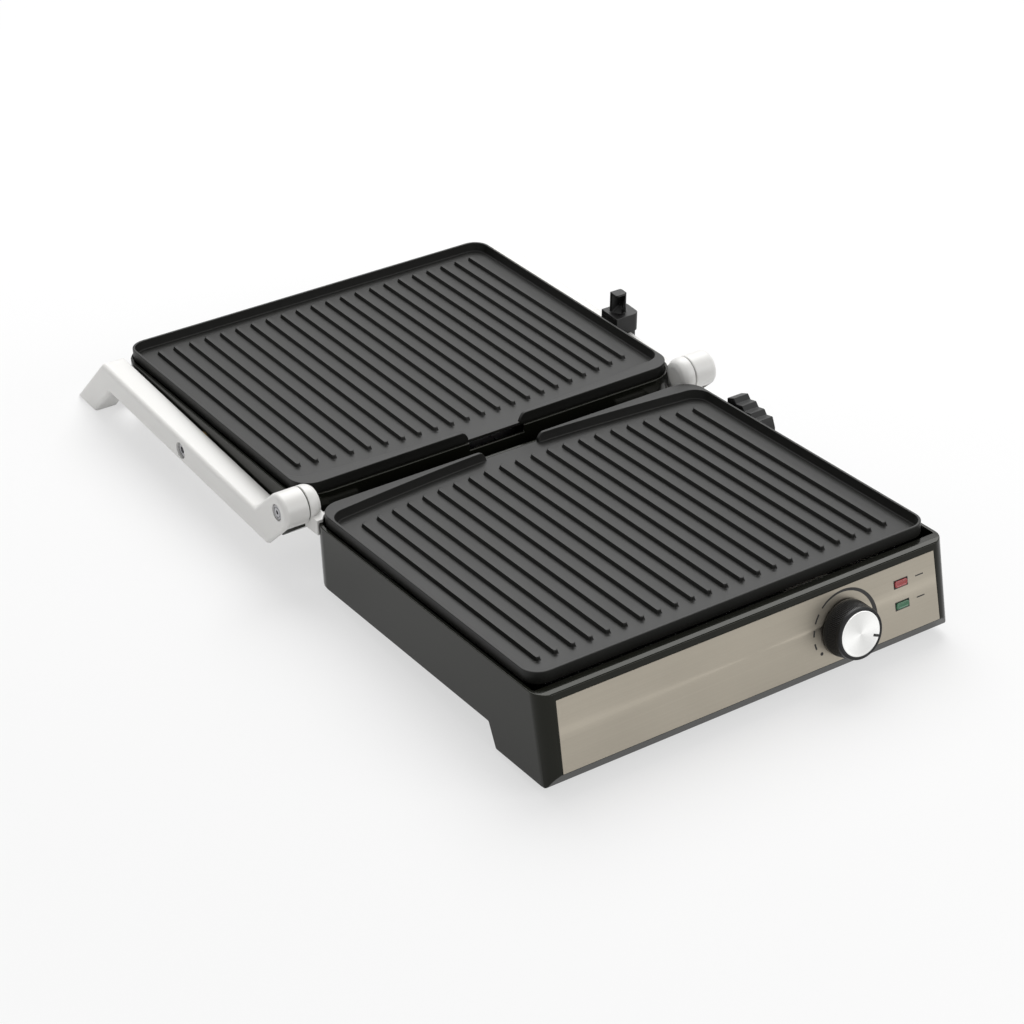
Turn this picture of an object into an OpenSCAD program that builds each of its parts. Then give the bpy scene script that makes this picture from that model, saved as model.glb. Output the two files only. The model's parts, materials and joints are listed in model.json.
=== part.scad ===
// Electric contact grill, opened flat so that both ribbed plates face up.
// The body frame has the hinge axis on the line y = z = 0 along X, the control base towards -Y
// and the turned-over lid towards +Y. placed() leans that frame back onto the table (z = 0)
// and centres the outline over the origin. Lengths are millimetres, angles are degrees.

/* [Stance] */
// Lean of the whole body on its feet, degrees
body_lean = 3.6; // [3.2:0.1:4]
// Height of the hinge axis over the table
hinge_height = 54.8; // [54:0.1:58]

/* [Grill plates] */
// Width over the rim
plate_w = 287; // [260:1:300]
// Length from the hinge-side rim to the outer rim
plate_l = 239.8; // [225:0.1:244]
// Rim top above the middle of the rib height
plate_rim_up = 5; // [4:0.1:6]
// Skirt below the middle of the rib height
plate_skirt_down = 3.2; // [2.4:0.1:3.6]
// Thickness of the rim wall
plate_rim_t = 2; // [1.6:0.1:3]
// Thickness of the floor between the ribs
plate_floor_t = 3.4; // [2.8:0.1:4]
// Corner radius on the hinge side
plate_back_r = 15; // [13:0.5:18]
// Corner radius on the outer side
plate_front_r = 12; // [8:0.5:16]
// Width of the flat rim band in the hinge-side corners
plate_band = 11.3; // [8:0.1:13]
// Width of the gap in the rim where fat drains
spout_w = 40; // [30:1:50]
// Least distance from the outermost ribs' middles to the plate's sides
rib_side = 17.2; // [14:0.1:20]
// Distance from rib to rib
rib_pitch = 12; // [11:0.1:12.4]
// Width of a rib
rib_w = 3.5; // [2.5:0.1:5]
// Height of a rib
rib_h = 2.5; // [1.5:0.1:3.5]
// Distance from the hinge-side rim to the middle ribs' ends
rib_back = 15.7; // [13:0.1:20]
// How much further from that rim the outermost ribs start
rib_bow = 11.5; // [0:0.1:14]
// Distance from the outer rim to the ribs' ends
rib_front = 19.4; // [18:0.1:26]
// Shift of the upper plate's ribs away from the hinge
upper_rib_shift = 5.6; // [0:0.1:8]

/* [Base housing] */
// Distance of the side walls' outer faces from the plate's sides
base_side = 3.8; // [3.5:0.1:5]
// Hinge-side rim of the lower plate in front of the hinge axis
base_back = 10.6; // [10:0.1:13]
// Rib middle of the lower plate below the hinge axis
base_plane_drop = 4.3; // [4:0.1:5]
// Top of the walls below the hinge axis
base_top_drop = 6.5; // [6:0.1:7]
// Raised bottom below the hinge axis
base_bottom_drop = 49.8; // [49:0.1:51]
// Bottom of the front foot below the hinge axis
base_foot_drop = 65.3; // [64:0.1:65.6]
// Distance of the housing's outer faces from the plate rims behind and before
base_margin = 4; // [3.5:0.1:5]
// Wall thickness
base_wall = 2.5; // [2:0.1:3]
// Corner radius at the hinge side
base_back_r = 18; // [16:0.5:20]
// Corner radius at the front
base_front_r = 10; // [8:0.5:12]
// Depth of the front foot, back to front, at its bottom
foot_l = 43.4; // [38:0.1:48]
// Gap between the plate's front rim and the opening's edge
plate_gap = 2.6; // [2:0.1:3]

/* [Control panel] */
// Height of the panel, measured down its slope
fascia_h = 45.5; // [42:0.1:47]
// Distance of the panel's ends from the side walls' outer faces
fascia_side = 10.8; // [9:0.1:16]
// Widening of each half from top to bottom
fascia_flare = 1.2; // [0:0.1:2]
// Lean of the panel, face upwards, degrees
fascia_lean = 8.84; // [7:0.01:10]
// Thickness of the steel panel
fascia_t = 1.2; // [1:0.1:1.4]
// Top edge of the panel in front of the plate's front rim
fascia_top_out = 12.4; // [11:0.1:14]
// Top edge of the panel below the hinge axis
fascia_top_drop = 11.3; // [11:0.1:12]
// Knob axis in from the panel's right end
knob_in = 70.5; // [56:0.5:86]
// Knob axis down the panel from its top edge
knob_down = 25.8; // [24:0.1:27]
// Radius of the knob's foot
knob_r = 17.8; // [17:0.1:20]
// Radius of the knob's front rim
knob_front_r = 16.3; // [16:0.1:17]
// Height of the knob's skirt
knob_h = 13.7; // [12:0.1:15]
// Radius of the polished cap
knob_cap_r = 14.2; // [13:0.1:15]
// Thickness of the polished cap
knob_cap_t = 2; // [1.5:0.1:3]
// Number of flutes around the skirt
knob_flutes = 48; // [30:1:56]
// Width of a lamp lens
lamp_w = 9.8; // [8:0.1:11]
// Height of a lamp lens
lamp_h = 4.2; // [3.5:0.1:6]
// Lamps in from the panel's right end
lamp_in = 26.6; // [22:0.1:32]
// Upper lamp down the panel
lamp_down = 12.3; // [10:0.1:14]
// Distance between the lamps
lamp_pitch = 14.2; // [12:0.1:16]

/* [Hinge] */
// Radius of the hinge barrel
barrel_r = 12; // [11.5:0.1:12.2]
// Radius of the knuckle's flat inner end
knuckle_end_r = 6.3; // [5:0.1:7]
// Length of the knuckle on the base
knuckle_l = 9.5; // [9:0.1:10]
// Radius of the hinge pin
pin_r = 4; // [3.5:0.1:4.5]
// Thickness of the hinge washer
washer_t = 0.4; // [0.3:0.1:0.5]
// Gap between the lid's side wall and an arm
arm_gap = 0.9; // [0.8:0.05:1.2]

/* [Arms] */
// Thickness of an arm along X
arm_t = 17.2; // [15:0.1:18]
// Height of an arm's straight band
arm_h = 18.2; // [17:0.1:19]
// Top of the band below the hinge axis, square to the band
arm_drop = 14.15; // [13.8:0.05:15]
// Lean of the band in the open pose, degrees
arm_lean = 4.94; // [4.7:0.01:5.2]
// Leg's outer corner, along the band from the hinge axis, beyond the plate's length
leg_out = 3.6; // [3:0.1:16]
// Width of a leg square to its slope
leg_w = 19.3; // [17:0.1:20]
// Slope of a leg against the band, degrees
leg_slope = 46.4; // [45:0.1:50]
// Lid's pivot, along the band from the hinge axis, beyond half the plate's length
pivot_out = 9.3; // [6:0.1:12]
// Radius of the lid pivot screw
pivot_r = 3; // [2.5:0.1:3.5]
// Radius of the screw recess at the pivot
pivot_recess_r = 5.7; // [5:0.1:6.5]
// Radius of the handle grip
grip_r = 8.5; // [7:0.1:9]

/* [Lid] */
// Lean of the lid in the open pose, degrees
lid_lean = 1.66; // [1.4:0.01:1.9]
// Pivot beyond the middle of the lid's plate
lid_pivot_off = 2.6; // [1:0.1:3]
// Pivot below the middle of the lid plate's ribs
lid_pivot_down = 17.2; // [17:0.05:17.2]
// Depth of the lid below the middle of its ribs
lid_depth = 40; // [37:0.5:42]
// Walls of the lid beyond the plate rims behind and before
lid_margin = 3.5; // [3:0.1:4]
// Edge of the walls below the middle of the ribs
lid_edge_down = 1.65; // [1.4:0.05:2]
// Wall thickness
lid_wall = 2.2; // [2:0.1:2.6]
// Corner radius at the hinge side
lid_back_r = 22; // [21:0.5:24]
// Thickness of the steel cover
lid_cover_t = 1.6; // [1.2:0.1:2]

/* [Height steps] */
// Number of steps
step_count = 4; // [3:1:4]
// Distance from step to step
step_pitch = 8.7; // [8:0.1:9]
// Drop from step to step
step_drop = 2.1; // [1.8:0.1:2.4]
// Top of the first step above the hinge axis
step_top = 2.7; // [2:0.1:3]
// First step's edge in front of the hinge axis
step_first = 53; // [52:0.1:54]
// Width of the rack's teeth along X
step_w = 9.8; // [7:0.1:11]
// Clip's middle along the arm from the hinge axis
clip_along = 93.6; // [93:0.1:98]
// Length of the clip along the arm
clip_l = 18.5; // [16:0.1:20]
// Height of the clip's block over the arm
clip_h = 13.9; // [10:0.1:15]
// Height of the clip's post over the arm
clip_post_h = 29; // [26:0.1:30]

/* [Drip tray] */
// Width of the tray
tray_w = 140; // [120:1:144]
// Length of the tray
tray_l = 78; // [70:1:84]
// Height of the tray
tray_h = 9.8; // [9:0.1:10]

/* [Hidden] */

$fn = 40;
// Segments in the arcs of drawn outlines
arc_steps = 6;
// Segments round small pieces and round the heating tube
small_fn = 16;
tube_fn = 20;
// Extra length of every cut past the face that it opens
over = 1;
// Half the size of the block that stands for the space over the table
space = 400;
// Gap between moving pieces and between covers and what they close
run_gap = 0.3;
// Running clearance of a pin or shaft in its bore, on the radius
pin_gap = 0.05;
// Gap between the knob's foot and the panel
knob_gap = 1;

// Driving places in the body frame
base_half_w = plate_w / 2 + base_side;
fascia_half_w = base_half_w - fascia_side;
knob_x = fascia_half_w - knob_in;
lamp_x = fascia_half_w - lamp_in;
arm_l = plate_l + leg_out;
pivot_along = plate_l / 2 + pivot_out;
lid_pivot_in = plate_l / 2 + lid_pivot_off;
base_back_y = -base_back + base_margin;
plate_front_y = -base_back - plate_l;
arm_in_x = base_half_w + arm_gap;
arm_out_x = arm_in_x + arm_t;
fascia_top_y = plate_front_y - fascia_top_out;
fascia_bottom_y = fascia_top_y - fascia_h * sin(fascia_lean);
fascia_bottom_z = -fascia_top_drop - fascia_h * cos(fascia_lean);

// The lid hangs on its pivot, so its plate's rim follows from the arm
function turned(p, a) = [p.x * cos(a) - p.y * sin(a), p.x * sin(a) + p.y * cos(a)];
pivot_place = turned([pivot_along, -arm_drop - arm_h / 2], arm_lean);
lid_rim_place = pivot_place - turned([lid_pivot_in, -lid_pivot_down], lid_lean);

// Outlines with rounded corners: an arc of the given radius replaces each corner
function unit(v) = v / norm(v);
function wrapped(a) = a > 180 ? a - 360 : a < -180 ? a + 360 : a;
function bearing(c, p) = atan2(p.y - c.y, p.x - c.x);
function corner_arc(p, a, b, r) =
    r <= 0 ? [p] :
    let (u = unit(a - p), v = unit(b - p), half = acos(u * v) / 2, reach = r / tan(half),
         c = p + unit(u + v) * r / sin(half),
         start = bearing(c, p + u * reach), sweep = wrapped(bearing(c, p + v * reach) - start))
    [for (i = [0:arc_steps]) c + r * [cos(start + sweep * i / arc_steps),
        sin(start + sweep * i / arc_steps)]];
function rounded(points, radii) =
    let (n = len(points))
    [for (i = [0:n - 1]) each corner_arc(points[i], points[(i + n - 1) % n], points[(i + 1) % n], radii[i])];
function mirrored(points) = [for (i = [len(points) - 1:-1:0]) [-points[i].x, points[i].y]];
// Rectangle around the middle in x, with its own radius at each end in y
function plan(half_w, y0, y1, r0, r1) =
    rounded([[half_w, y0], [half_w, y1], [-half_w, y1], [-half_w, y0]], [r0, r1, r1, r0]);

// Placement of the outline's middle over the origin: the knob's front ring is foremost and the
// leg ends are the rearmost
function leaned(p) = turned(p, -body_lean);
knob_face = knob_gap + knob_h;
front_lean = fascia_lean + body_lean;
front_reach =
    -leaned([fascia_top_y - knob_down * sin(fascia_lean), -fascia_top_drop - knob_down * cos(fascia_lean)]).x
    + knob_face * cos(front_lean) + knob_front_r * sin(front_lean);
leg_dir = turned(turned([1, 0], arm_lean - leg_slope), -body_lean);
leg_corner = turned([arm_l, -arm_drop], arm_lean - body_lean);
back_reach = leg_corner.x + (hinge_height + leg_corner.y) / -leg_dir.y * leg_dir.x;
middle_y = (front_reach - back_reach) / 2;

module placed() {
    translate([0, middle_y, hinge_height]) rotate([-body_lean, 0, 0]) children();
}
module level() {
    translate([0, middle_y, 0]) children();
}
// Everything that stands on the table is cut flat there
module over_table() {
    intersection() {
        children();
        translate([-space, -space, 0]) cube([2 * space, 2 * space, space]);
    }
}
module both_sides() {
    children();
    mirror([1, 0, 0]) children();
}
// Extrudes an outline drawn in (y, z) along X
module along_x(x0, x1) {
    translate([x0, 0, 0]) rotate([90, 0, 90]) linear_extrude(x1 - x0) children();
}
// Cylinder along X
module rod_x(r, x0, x1) {
    translate([x0, 0, 0]) rotate([0, 90, 0]) cylinder(r = r, h = x1 - x0);
}
module hole_z(r, z0, z1) {
    translate([0, 0, z0]) cylinder(r = r, h = z1 - z0);
}
module box(x0, x1, y0, y1, z0, z1) {
    translate([x0, y0, z0]) cube([x1 - x0, y1 - y0, z1 - z0]);
}
// Frames of the arm, the lid and the two plates: x across, y away from the hinge, z up from the ribs
module in_arm() {
    rotate([arm_lean, 0, 0]) children();
}
module at_pivot() {
    translate([0, pivot_along, -arm_drop - arm_h / 2]) children();
}
module in_lid() {
    translate([0, lid_rim_place.x, lid_rim_place.y]) rotate([lid_lean, 0, 0]) children();
}
module in_base() {
    translate([0, -base_back, -base_plane_drop]) mirror([0, 1, 0]) children();
}
// Frame of the panel: x across, y up the panel, z out of its face
module on_fascia() {
    translate([0, fascia_top_y, -fascia_top_drop]) rotate([90 - fascia_lean, 0, 0]) children();
}

// Grill plates
rib_half = rib_h / 2;
plate_half_w = plate_w / 2;
floor_inset = 6;
rib_count = floor((plate_w - 2 * rib_side) / rib_pitch) + 1;
floor_z = -rib_half;
floor_under = floor_z - plate_floor_t;
boss_r = 4.5;
boss_side = 25.5;
boss_x = plate_w / 2 - boss_side;
boss_shares = [0.25, 0.75];
pan_z = -13;
pan_t = 0.8;
pan_under = pan_z - pan_t;
band_in_x = plate_half_w - plate_back_r;
plate_inner_r = plate_back_r - plate_rim_t;

module plate_bosses() {
    for (x = [-boss_x, boss_x], share = boss_shares)
        translate([x, plate_l * share, 0]) children();
}
// Pocket of a plate: straight at the sides and the outer end, drawn to a shallow V on the hinge side
module plate_pocket() {
    x = plate_half_w - plate_rim_t;
    side = [
        [spout_w / 2, plate_rim_t], [band_in_x, plate_band], [x, plate_band + plate_inner_r],
        [x, plate_l - plate_rim_t]
    ];
    half = rounded([each side, [0, plate_l - plate_rim_t], [0, plate_rim_t]],
                   [0, plate_inner_r, 0, plate_front_r - plate_rim_t, 0, 0]);
    hole_depth = plate_rim_up - floor_z + over;
    translate([0, 0, floor_z]) linear_extrude(hole_depth) union() {
        polygon(half);
        polygon(mirrored(half));
        translate([-spout_w / 2, -over]) square([spout_w, 2 * over + plate_rim_t]);
    }
}
module ribs(shift) {
    for (i = [0:rib_count - 1]) {
        u = 2 * i / (rib_count - 1) - 1;
        x = (i - (rib_count - 1) / 2) * rib_pitch;
        y0 = rib_back + shift + rib_bow * u * u + rib_w / 2;
        y1 = plate_l - rib_front + shift - rib_w / 2;
        translate([x, 0, floor_z]) linear_extrude(rib_h) {
            translate([-rib_w / 2, y0]) square([rib_w, y1 - y0]);
            for (y = [y0, y1]) translate([0, y]) circle(r = rib_w / 2, $fn = small_fn);
        }
    }
}
module grill_plate(shift) {
    difference() {
        union() {
            difference() {
                translate([0, 0, -plate_skirt_down]) linear_extrude(plate_rim_up + plate_skirt_down)
                    polygon(plan(plate_half_w, 0, plate_l, plate_back_r, plate_front_r));
                plate_pocket();
            }
            translate([0, 0, floor_under]) linear_extrude(floor_z - floor_under)
                polygon(plan(plate_half_w - floor_inset, floor_inset, plate_l - floor_inset,
                             plate_back_r - floor_inset, plate_front_r - floor_inset));
            ribs(shift);
            plate_bosses() hole_z(boss_r, pan_z, floor_under);
        }
        plate_bosses() hole_z(screw_r, pan_z - over, screw_tip_z);
    }
}

// Long screws that hold plate, pan and housing together
screw_r = 2;
screw_tip_z = -6.5;
screw_head_r = 4;
screw_head_t = 2.4;
screw_slot = 1;
post_r = 6;
post_hole_r = 2.3;
head_hole_r = 4.3;
head_sink = 3;

module slotted_head(r, t) {
    difference() {
        cylinder(r = r, h = t);
        translate([-r - over, -screw_slot / 2, -over]) cube([2 * (r + over), screw_slot, over + t / 2]);
    }
}
// Screw from a face at under_z up into the plate's boss
module plate_screw(under_z) {
    translate([0, 0, under_z + head_sink - screw_head_t]) slotted_head(screw_head_r, screw_head_t);
    hole_z(screw_r, under_z + head_sink, screw_tip_z);
}
// Hollow post from a floor up to the pan, with its holes cut by post_holes
module post_holes(under_z) {
    hole_z(post_hole_r, under_z - over, pan_under + over);
    hole_z(head_hole_r, under_z - over, under_z + head_sink);
}

// Heating element: one tube bent round under the plate, with two cold ends turned away from it
element_r = 3.2;
element_z = floor_under - element_r;
element_side = 49.5;
element_x = plate_half_w - element_side;
element_bend = 16;
element_start = 26;
element_end_x = 38;
element_far_share = 0.87;
cold_end_l = 14;
cold_end_r = 2.4;

module element_bend_at(x, y, turn) {
    translate([x, y, 0]) rotate([0, 0, turn]) rotate_extrude(angle = 90)
        translate([element_bend, 0]) circle(r = element_r, $fn = tube_fn);
}
module heating_element() {
    y0 = element_start;
    y1 = plate_l * element_far_share;
    xi = element_x - element_bend;
    translate([0, 0, element_z]) {
        both_sides() {
            translate([element_x, y0 + element_bend, 0]) rotate([-90, 0, 0])
                cylinder(r = element_r, h = y1 - y0 - 2 * element_bend, $fn = tube_fn);
            element_bend_at(xi, y1 - element_bend, 0);
            element_bend_at(xi, y0 + element_bend, -90);
            translate([element_end_x, y0, 0]) rotate([0, 90, 0])
                cylinder(r = element_r, h = xi - element_end_x, $fn = tube_fn);
            translate([element_end_x, y0, 0]) sphere(r = element_r, $fn = tube_fn);
            translate([element_end_x, y0, -cold_end_l]) cylinder(r = cold_end_r, h = cold_end_l,
                $fn = tube_fn);
        }
        translate([-xi, y1, 0]) rotate([0, 90, 0]) cylinder(r = element_r, h = 2 * xi, $fn = tube_fn);
    }
}
// Heat reflector pan that the bosses stand on
pan_inset = 9;
pan_lip = 5;
pan_corner_r = 8;
cold_hole_r = 5;
module reflector() {
    half_w = plate_half_w - pan_inset;
    difference() {
        translate([0, 0, pan_under]) linear_extrude(pan_lip)
            polygon(plan(half_w, pan_inset, plate_l - pan_inset, pan_corner_r, pan_corner_r));
        translate([0, 0, pan_z]) linear_extrude(pan_lip)
            polygon(plan(half_w - pan_t, pan_inset + pan_t, plate_l - pan_inset - pan_t,
                         pan_corner_r - pan_t, pan_corner_r - pan_t));
        plate_bosses() hole_z(screw_r, pan_under - over, pan_z + over);
        for (x = [-element_end_x, element_end_x])
            translate([x, element_start, 0]) hole_z(cold_hole_r, pan_under - over, pan_z + over);
    }
}
// Thermal fuse strapped to the pan's underside
fuse_r = 2.6;
fuse_l = 26;
fuse_share = 0.5;
fuse_lead_r = 0.7;
fuse_lead_l = 10;
fuse_strap_w = 8;
fuse_strap_t = 0.8;
module thermal_fuse() {
    translate([0, plate_l * fuse_share, pan_under - fuse_r]) {
        rod_x(fuse_r, -fuse_l / 2, fuse_l / 2);
        rod_x(fuse_lead_r, -fuse_l / 2 - fuse_lead_l, fuse_l / 2 + fuse_lead_l);
        difference() {
            box(-fuse_strap_w / 2, fuse_strap_w / 2, -fuse_r - fuse_strap_t, fuse_r + fuse_strap_t,
                -fuse_r - fuse_strap_t, fuse_r);
            rod_x(fuse_r, -fuse_strap_w, fuse_strap_w);
        }
    }
}

module lower_plate() {
    color("dimgray") placed() in_base() grill_plate(0);
}
module upper_plate() {
    color("dimgray") placed() in_lid() grill_plate(upper_rib_shift);
}
module lower_heating_element() {
    color("darkolivegreen") placed() in_base() heating_element();
}
module upper_heating_element() {
    color("darkolivegreen") placed() in_lid() heating_element();
}
module lower_reflector() {
    color("silver") placed() in_base() reflector();
}
module upper_reflector() {
    color("silver") placed() in_lid() reflector();
}
module lower_thermal_fuse() {
    color("white") placed() in_base() thermal_fuse();
}
module upper_thermal_fuse() {
    color("white") placed() in_lid() thermal_fuse();
}

// Base housing: side outline in (y, z), raised behind the front foot
base_under_z = -base_bottom_drop;
foot_z = -base_foot_drop;
cover_t = 2.5;
foot_front_in = 12;
foot_step_run = 6.6;
foot_front_y = fascia_bottom_y + foot_front_in;
foot_back_y = foot_front_y + foot_l;
step_y = foot_back_y + foot_step_run;
// Frame over the panel: its face rises past the panel's edge, then slopes back to the top
strip_rise = 4.3;
strip_back = 4.6;
cover_lip = 2.5;
nose_in = 5;
nose_y = fascia_bottom_y + nose_in;
step_r = 1;
heel_edge_r = 1.5;
nose_r = 3;
panel_foot_r = 1;
panel_top_r = 1.2;

function base_outline() = rounded([
    [base_back_y, -base_top_drop], [base_back_y, base_under_z], [step_y, base_under_z],
    [foot_back_y, foot_z], [nose_y, foot_z], [fascia_bottom_y, fascia_bottom_z],
    [fascia_top_y + strip_rise * tan(fascia_lean), strip_rise - fascia_top_drop],
    [fascia_top_y + strip_back, -base_top_drop]
], [0, 0, step_r, heel_edge_r, nose_r, panel_foot_r, panel_top_r, panel_top_r]);
function base_cavity() = [
    [base_back_y - base_wall, over], [base_back_y - base_wall, base_under_z - over],
    [step_y + cover_lip, base_under_z - over], [step_y + cover_lip, base_under_z + cover_t],
    [step_y - base_wall, base_under_z + cover_t], [foot_back_y - base_wall, foot_z + base_wall],
    [nose_y + base_wall / 2, foot_z + base_wall], [fascia_bottom_y + base_wall, fascia_bottom_z],
    [fascia_top_y + base_wall, -fascia_top_drop - base_wall / 2],
    [plate_front_y - plate_gap - base_wall, -base_top_drop - base_wall],
    [plate_front_y - plate_gap, -base_top_drop - base_wall], [plate_front_y - plate_gap, over]
];
module fascia_outline() {
    polygon([[-fascia_half_w, 0], [fascia_half_w, 0],
             [fascia_half_w + fascia_flare, -fascia_h], [-fascia_half_w - fascia_flare, -fascia_h]]);
}
module lamp_places() {
    for (k = [0, 1]) translate([lamp_x, -lamp_down - k * lamp_pitch, 0]) children();
}
lamp_gap = 0.1;
// Depth at which the lamp holder and the thermostat sit behind the panel's face
seat_depth = base_wall + run_gap;
// Depth of the holes cut from the panel's face into the housing
panel_cut = 40;
module lamp_window(z0, z1) {
    w = lamp_w + 2 * lamp_gap;
    h = lamp_h + 2 * lamp_gap;
    translate([-w / 2, -h / 2, z0]) cube([w, h, z1 - z0]);
}

// Tunnel for the drip tray under the base's rear edge
tray_back_y = 30;
tray_flange = 4.2;
tray_gap = 1.3;
tray_end_gap = 4;
tunnel_rise = 6;
tunnel_half_w = tray_w / 2 + tray_flange + tray_gap;
tunnel_wall = 2.3;
tunnel_front_y = tray_back_y - tray_l - tray_end_gap;
tunnel_roof_z = base_under_z + tunnel_rise;

// Screws that hold the bottom cover, and the bosses that they enter
cover_screw_r = 1.5;
cover_head_r = 3;
cover_head_t = 1.5;
cover_screw_l = 14;
cover_boss_r = 5;
cover_boss_h = 18;
boss_into_wall = 0.5;
cover_boss_x = base_half_w - base_wall - cover_boss_r + boss_into_wall;
cover_boss_shares = [0.12, 0.5, 0.9];
module cover_boss_places() {
    for (x = [-cover_boss_x, cover_boss_x], share = cover_boss_shares)
        translate([x, base_back_y + (step_y - base_back_y) * share, base_under_z]) children();
}

// Cord inlet in the rear wall
gland_side = 63.3;
gland_x = gland_side - base_half_w;
gland_drop = 28;
gland_r = 7;
gland_flange_r = 9.5;
gland_bore_r = 3.6;
gland_out = 3;
gland_in = 6;
module at_gland() {
    translate([gland_x, base_back_y, -gland_drop]) rotate([-90, 0, 0]) children();
}

// Hinge bracket's flange on the rear wall and its screws
flange_side = 47.3;
flange_in_x = base_half_w - flange_side;
flange_t = 3;
flange_top_z = -12;
flange_bottom_z = -42;
bracket_screw_sides = [41.3, 27.3];
bracket_screw_z = -27;
bracket_screw_r = 1.6;
bracket_head_r = 3.2;
bracket_head_t = 1.6;
bracket_screw_l = 8;
module bracket_screw_places() {
    for (side = bracket_screw_sides)
        translate([base_half_w - side, base_back_y + flange_t, bracket_screw_z]) rotate([90, 0, 0])
            children();
}

bush_r = 5;
bush_gap = 0.1;
// Space inside walls that stand inset from the plan: upright behind, leaning with the panel in front
module within_walls(inset) {
    intersection() {
        translate([0, 0, foot_z - over]) linear_extrude(space)
            polygon(plan(base_half_w - inset, -space, base_back_y - inset, 0, base_back_r - inset));
        translate([0, fascia_top_y, -fascia_top_drop]) rotate([-fascia_lean, 0, 0])
            translate([0, 0, -space]) linear_extrude(2 * space)
                polygon(plan(base_half_w - inset, inset, space, base_front_r - inset, 0));
    }
}
module base_shell() {
    color("darkolivegreen") placed() difference() {
        union() {
            difference() {
                intersection() {
                    along_x(-base_half_w, base_half_w) polygon(base_outline());
                    within_walls(0);
                }
                intersection() {
                    along_x(-base_half_w + base_wall, base_half_w - base_wall) polygon(base_cavity());
                    within_walls(base_wall);
                }
            }
            cover_boss_places() hole_z(cover_boss_r, cover_t, cover_boss_h);
        }
        on_fascia() {
            translate([0, 0, -fascia_t]) linear_extrude(fascia_t + over) fascia_outline();
            translate([knob_x, -knob_down, 0]) hole_z(bush_r + bush_gap, -panel_cut, over);
            lamp_places() lamp_window(-panel_cut, over);
        }
        cover_boss_places() hole_z(cover_screw_r, 0, cover_screw_l);
        box(-tunnel_half_w, tunnel_half_w, base_back_y - base_wall - over, base_back_y + over,
            base_under_z - over, tunnel_roof_z);
        at_gland() hole_z(gland_r, -base_wall - over, over);
        both_sides() bracket_screw_places() hole_z(bracket_screw_r, -over, bracket_screw_l);
    }
}

// Bottom cover with its posts, the tray's tunnel and the two level rails in it
rail_lip = 4.3;
rail_t = 1.2;
rail_z = 8.2;
rail_front_in = 3.5;
rail_back_in = 4;
cover_front_r = 1;
module base_bottom_cover() {
    half_w = base_half_w - base_wall - run_gap;
    y1 = base_back_y - base_wall - run_gap;
    y0 = step_y + cover_lip + run_gap;
    color("dimgray") difference() {
        union() {
            placed() difference() {
                union() {
                    translate([0, 0, base_under_z]) linear_extrude(cover_t)
                        polygon(plan(half_w, y0, y1, cover_front_r, base_back_r - base_wall - run_gap));
                    box(-tunnel_half_w - tunnel_wall, tunnel_half_w + tunnel_wall,
                        tunnel_front_y - tunnel_wall, y1,
                        base_under_z, tunnel_roof_z + tunnel_wall);
                    cover_posts() hole_z(post_r, base_under_z, pan_under - base_plane_drop);
                }
                box(-tunnel_half_w, tunnel_half_w, tunnel_front_y, y1 + over, base_under_z - over,
                    tunnel_roof_z);
                cover_posts() translate([0, 0, -base_plane_drop])
                    post_holes(base_under_z + base_plane_drop);
                cover_boss_places() {
                    hole_z(cover_screw_r, -over, cover_t + over);
                    hole_z(cover_head_r, -over, cover_head_t);
                }
            }
            level() both_sides()
                box(tunnel_half_w - rail_lip, tunnel_half_w + tunnel_wall / 2,
                    tunnel_front_y + rail_front_in,
                    y1 - rail_back_in, rail_z, rail_z + rail_t);
        }
    }
}
module cover_posts() {
    for (x = [-boss_x, boss_x], share = boss_shares)
        translate([x, -base_back - plate_l * share, 0]) children();
}
module base_cover_screws() {
    color("gray") placed() cover_boss_places() {
        slotted_head(cover_head_r, cover_head_t);
        hole_z(cover_screw_r, cover_head_t, cover_screw_l);
    }
}
module lower_plate_screws() {
    color("gray") placed() in_base() plate_bosses() plate_screw(base_under_z + base_plane_drop);
}

module control_fascia() {
    color("tan") placed() on_fascia() difference() {
        translate([0, 0, -fascia_t]) linear_extrude(fascia_t) fascia_outline();
        translate([knob_x, -knob_down, 0]) hole_z(bush_r + bush_gap, -fascia_t - over, over);
        lamp_places() lamp_window(-fascia_t - over, over);
    }
}

// Lamp lenses in their windows, with the holder behind the wall
lens_out = 0.8;
lens_in = 4;
holder_t = 11;
holder_margin = 3.5;
module lens() {
    translate([-lamp_w / 2, -lamp_h / 2, -lens_in]) cube([lamp_w, lamp_h, lens_in + lens_out]);
}
module red_lamp_lens() {
    color("red") placed() on_fascia() translate([lamp_x, -lamp_down, 0]) lens();
}
module green_lamp_lens() {
    color("green") placed() on_fascia() translate([lamp_x, -lamp_down - lamp_pitch, 0]) lens();
}
module lamp_holder() {
    w = lamp_w / 2 + holder_margin;
    h = lamp_h / 2 + holder_margin;
    color("black") placed() on_fascia() difference() {
        box(lamp_x - w, lamp_x + w, -lamp_down - lamp_pitch - h, -lamp_down + h,
            -seat_depth - holder_t, -seat_depth);
        lamp_places() lens();
    }
}

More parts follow.
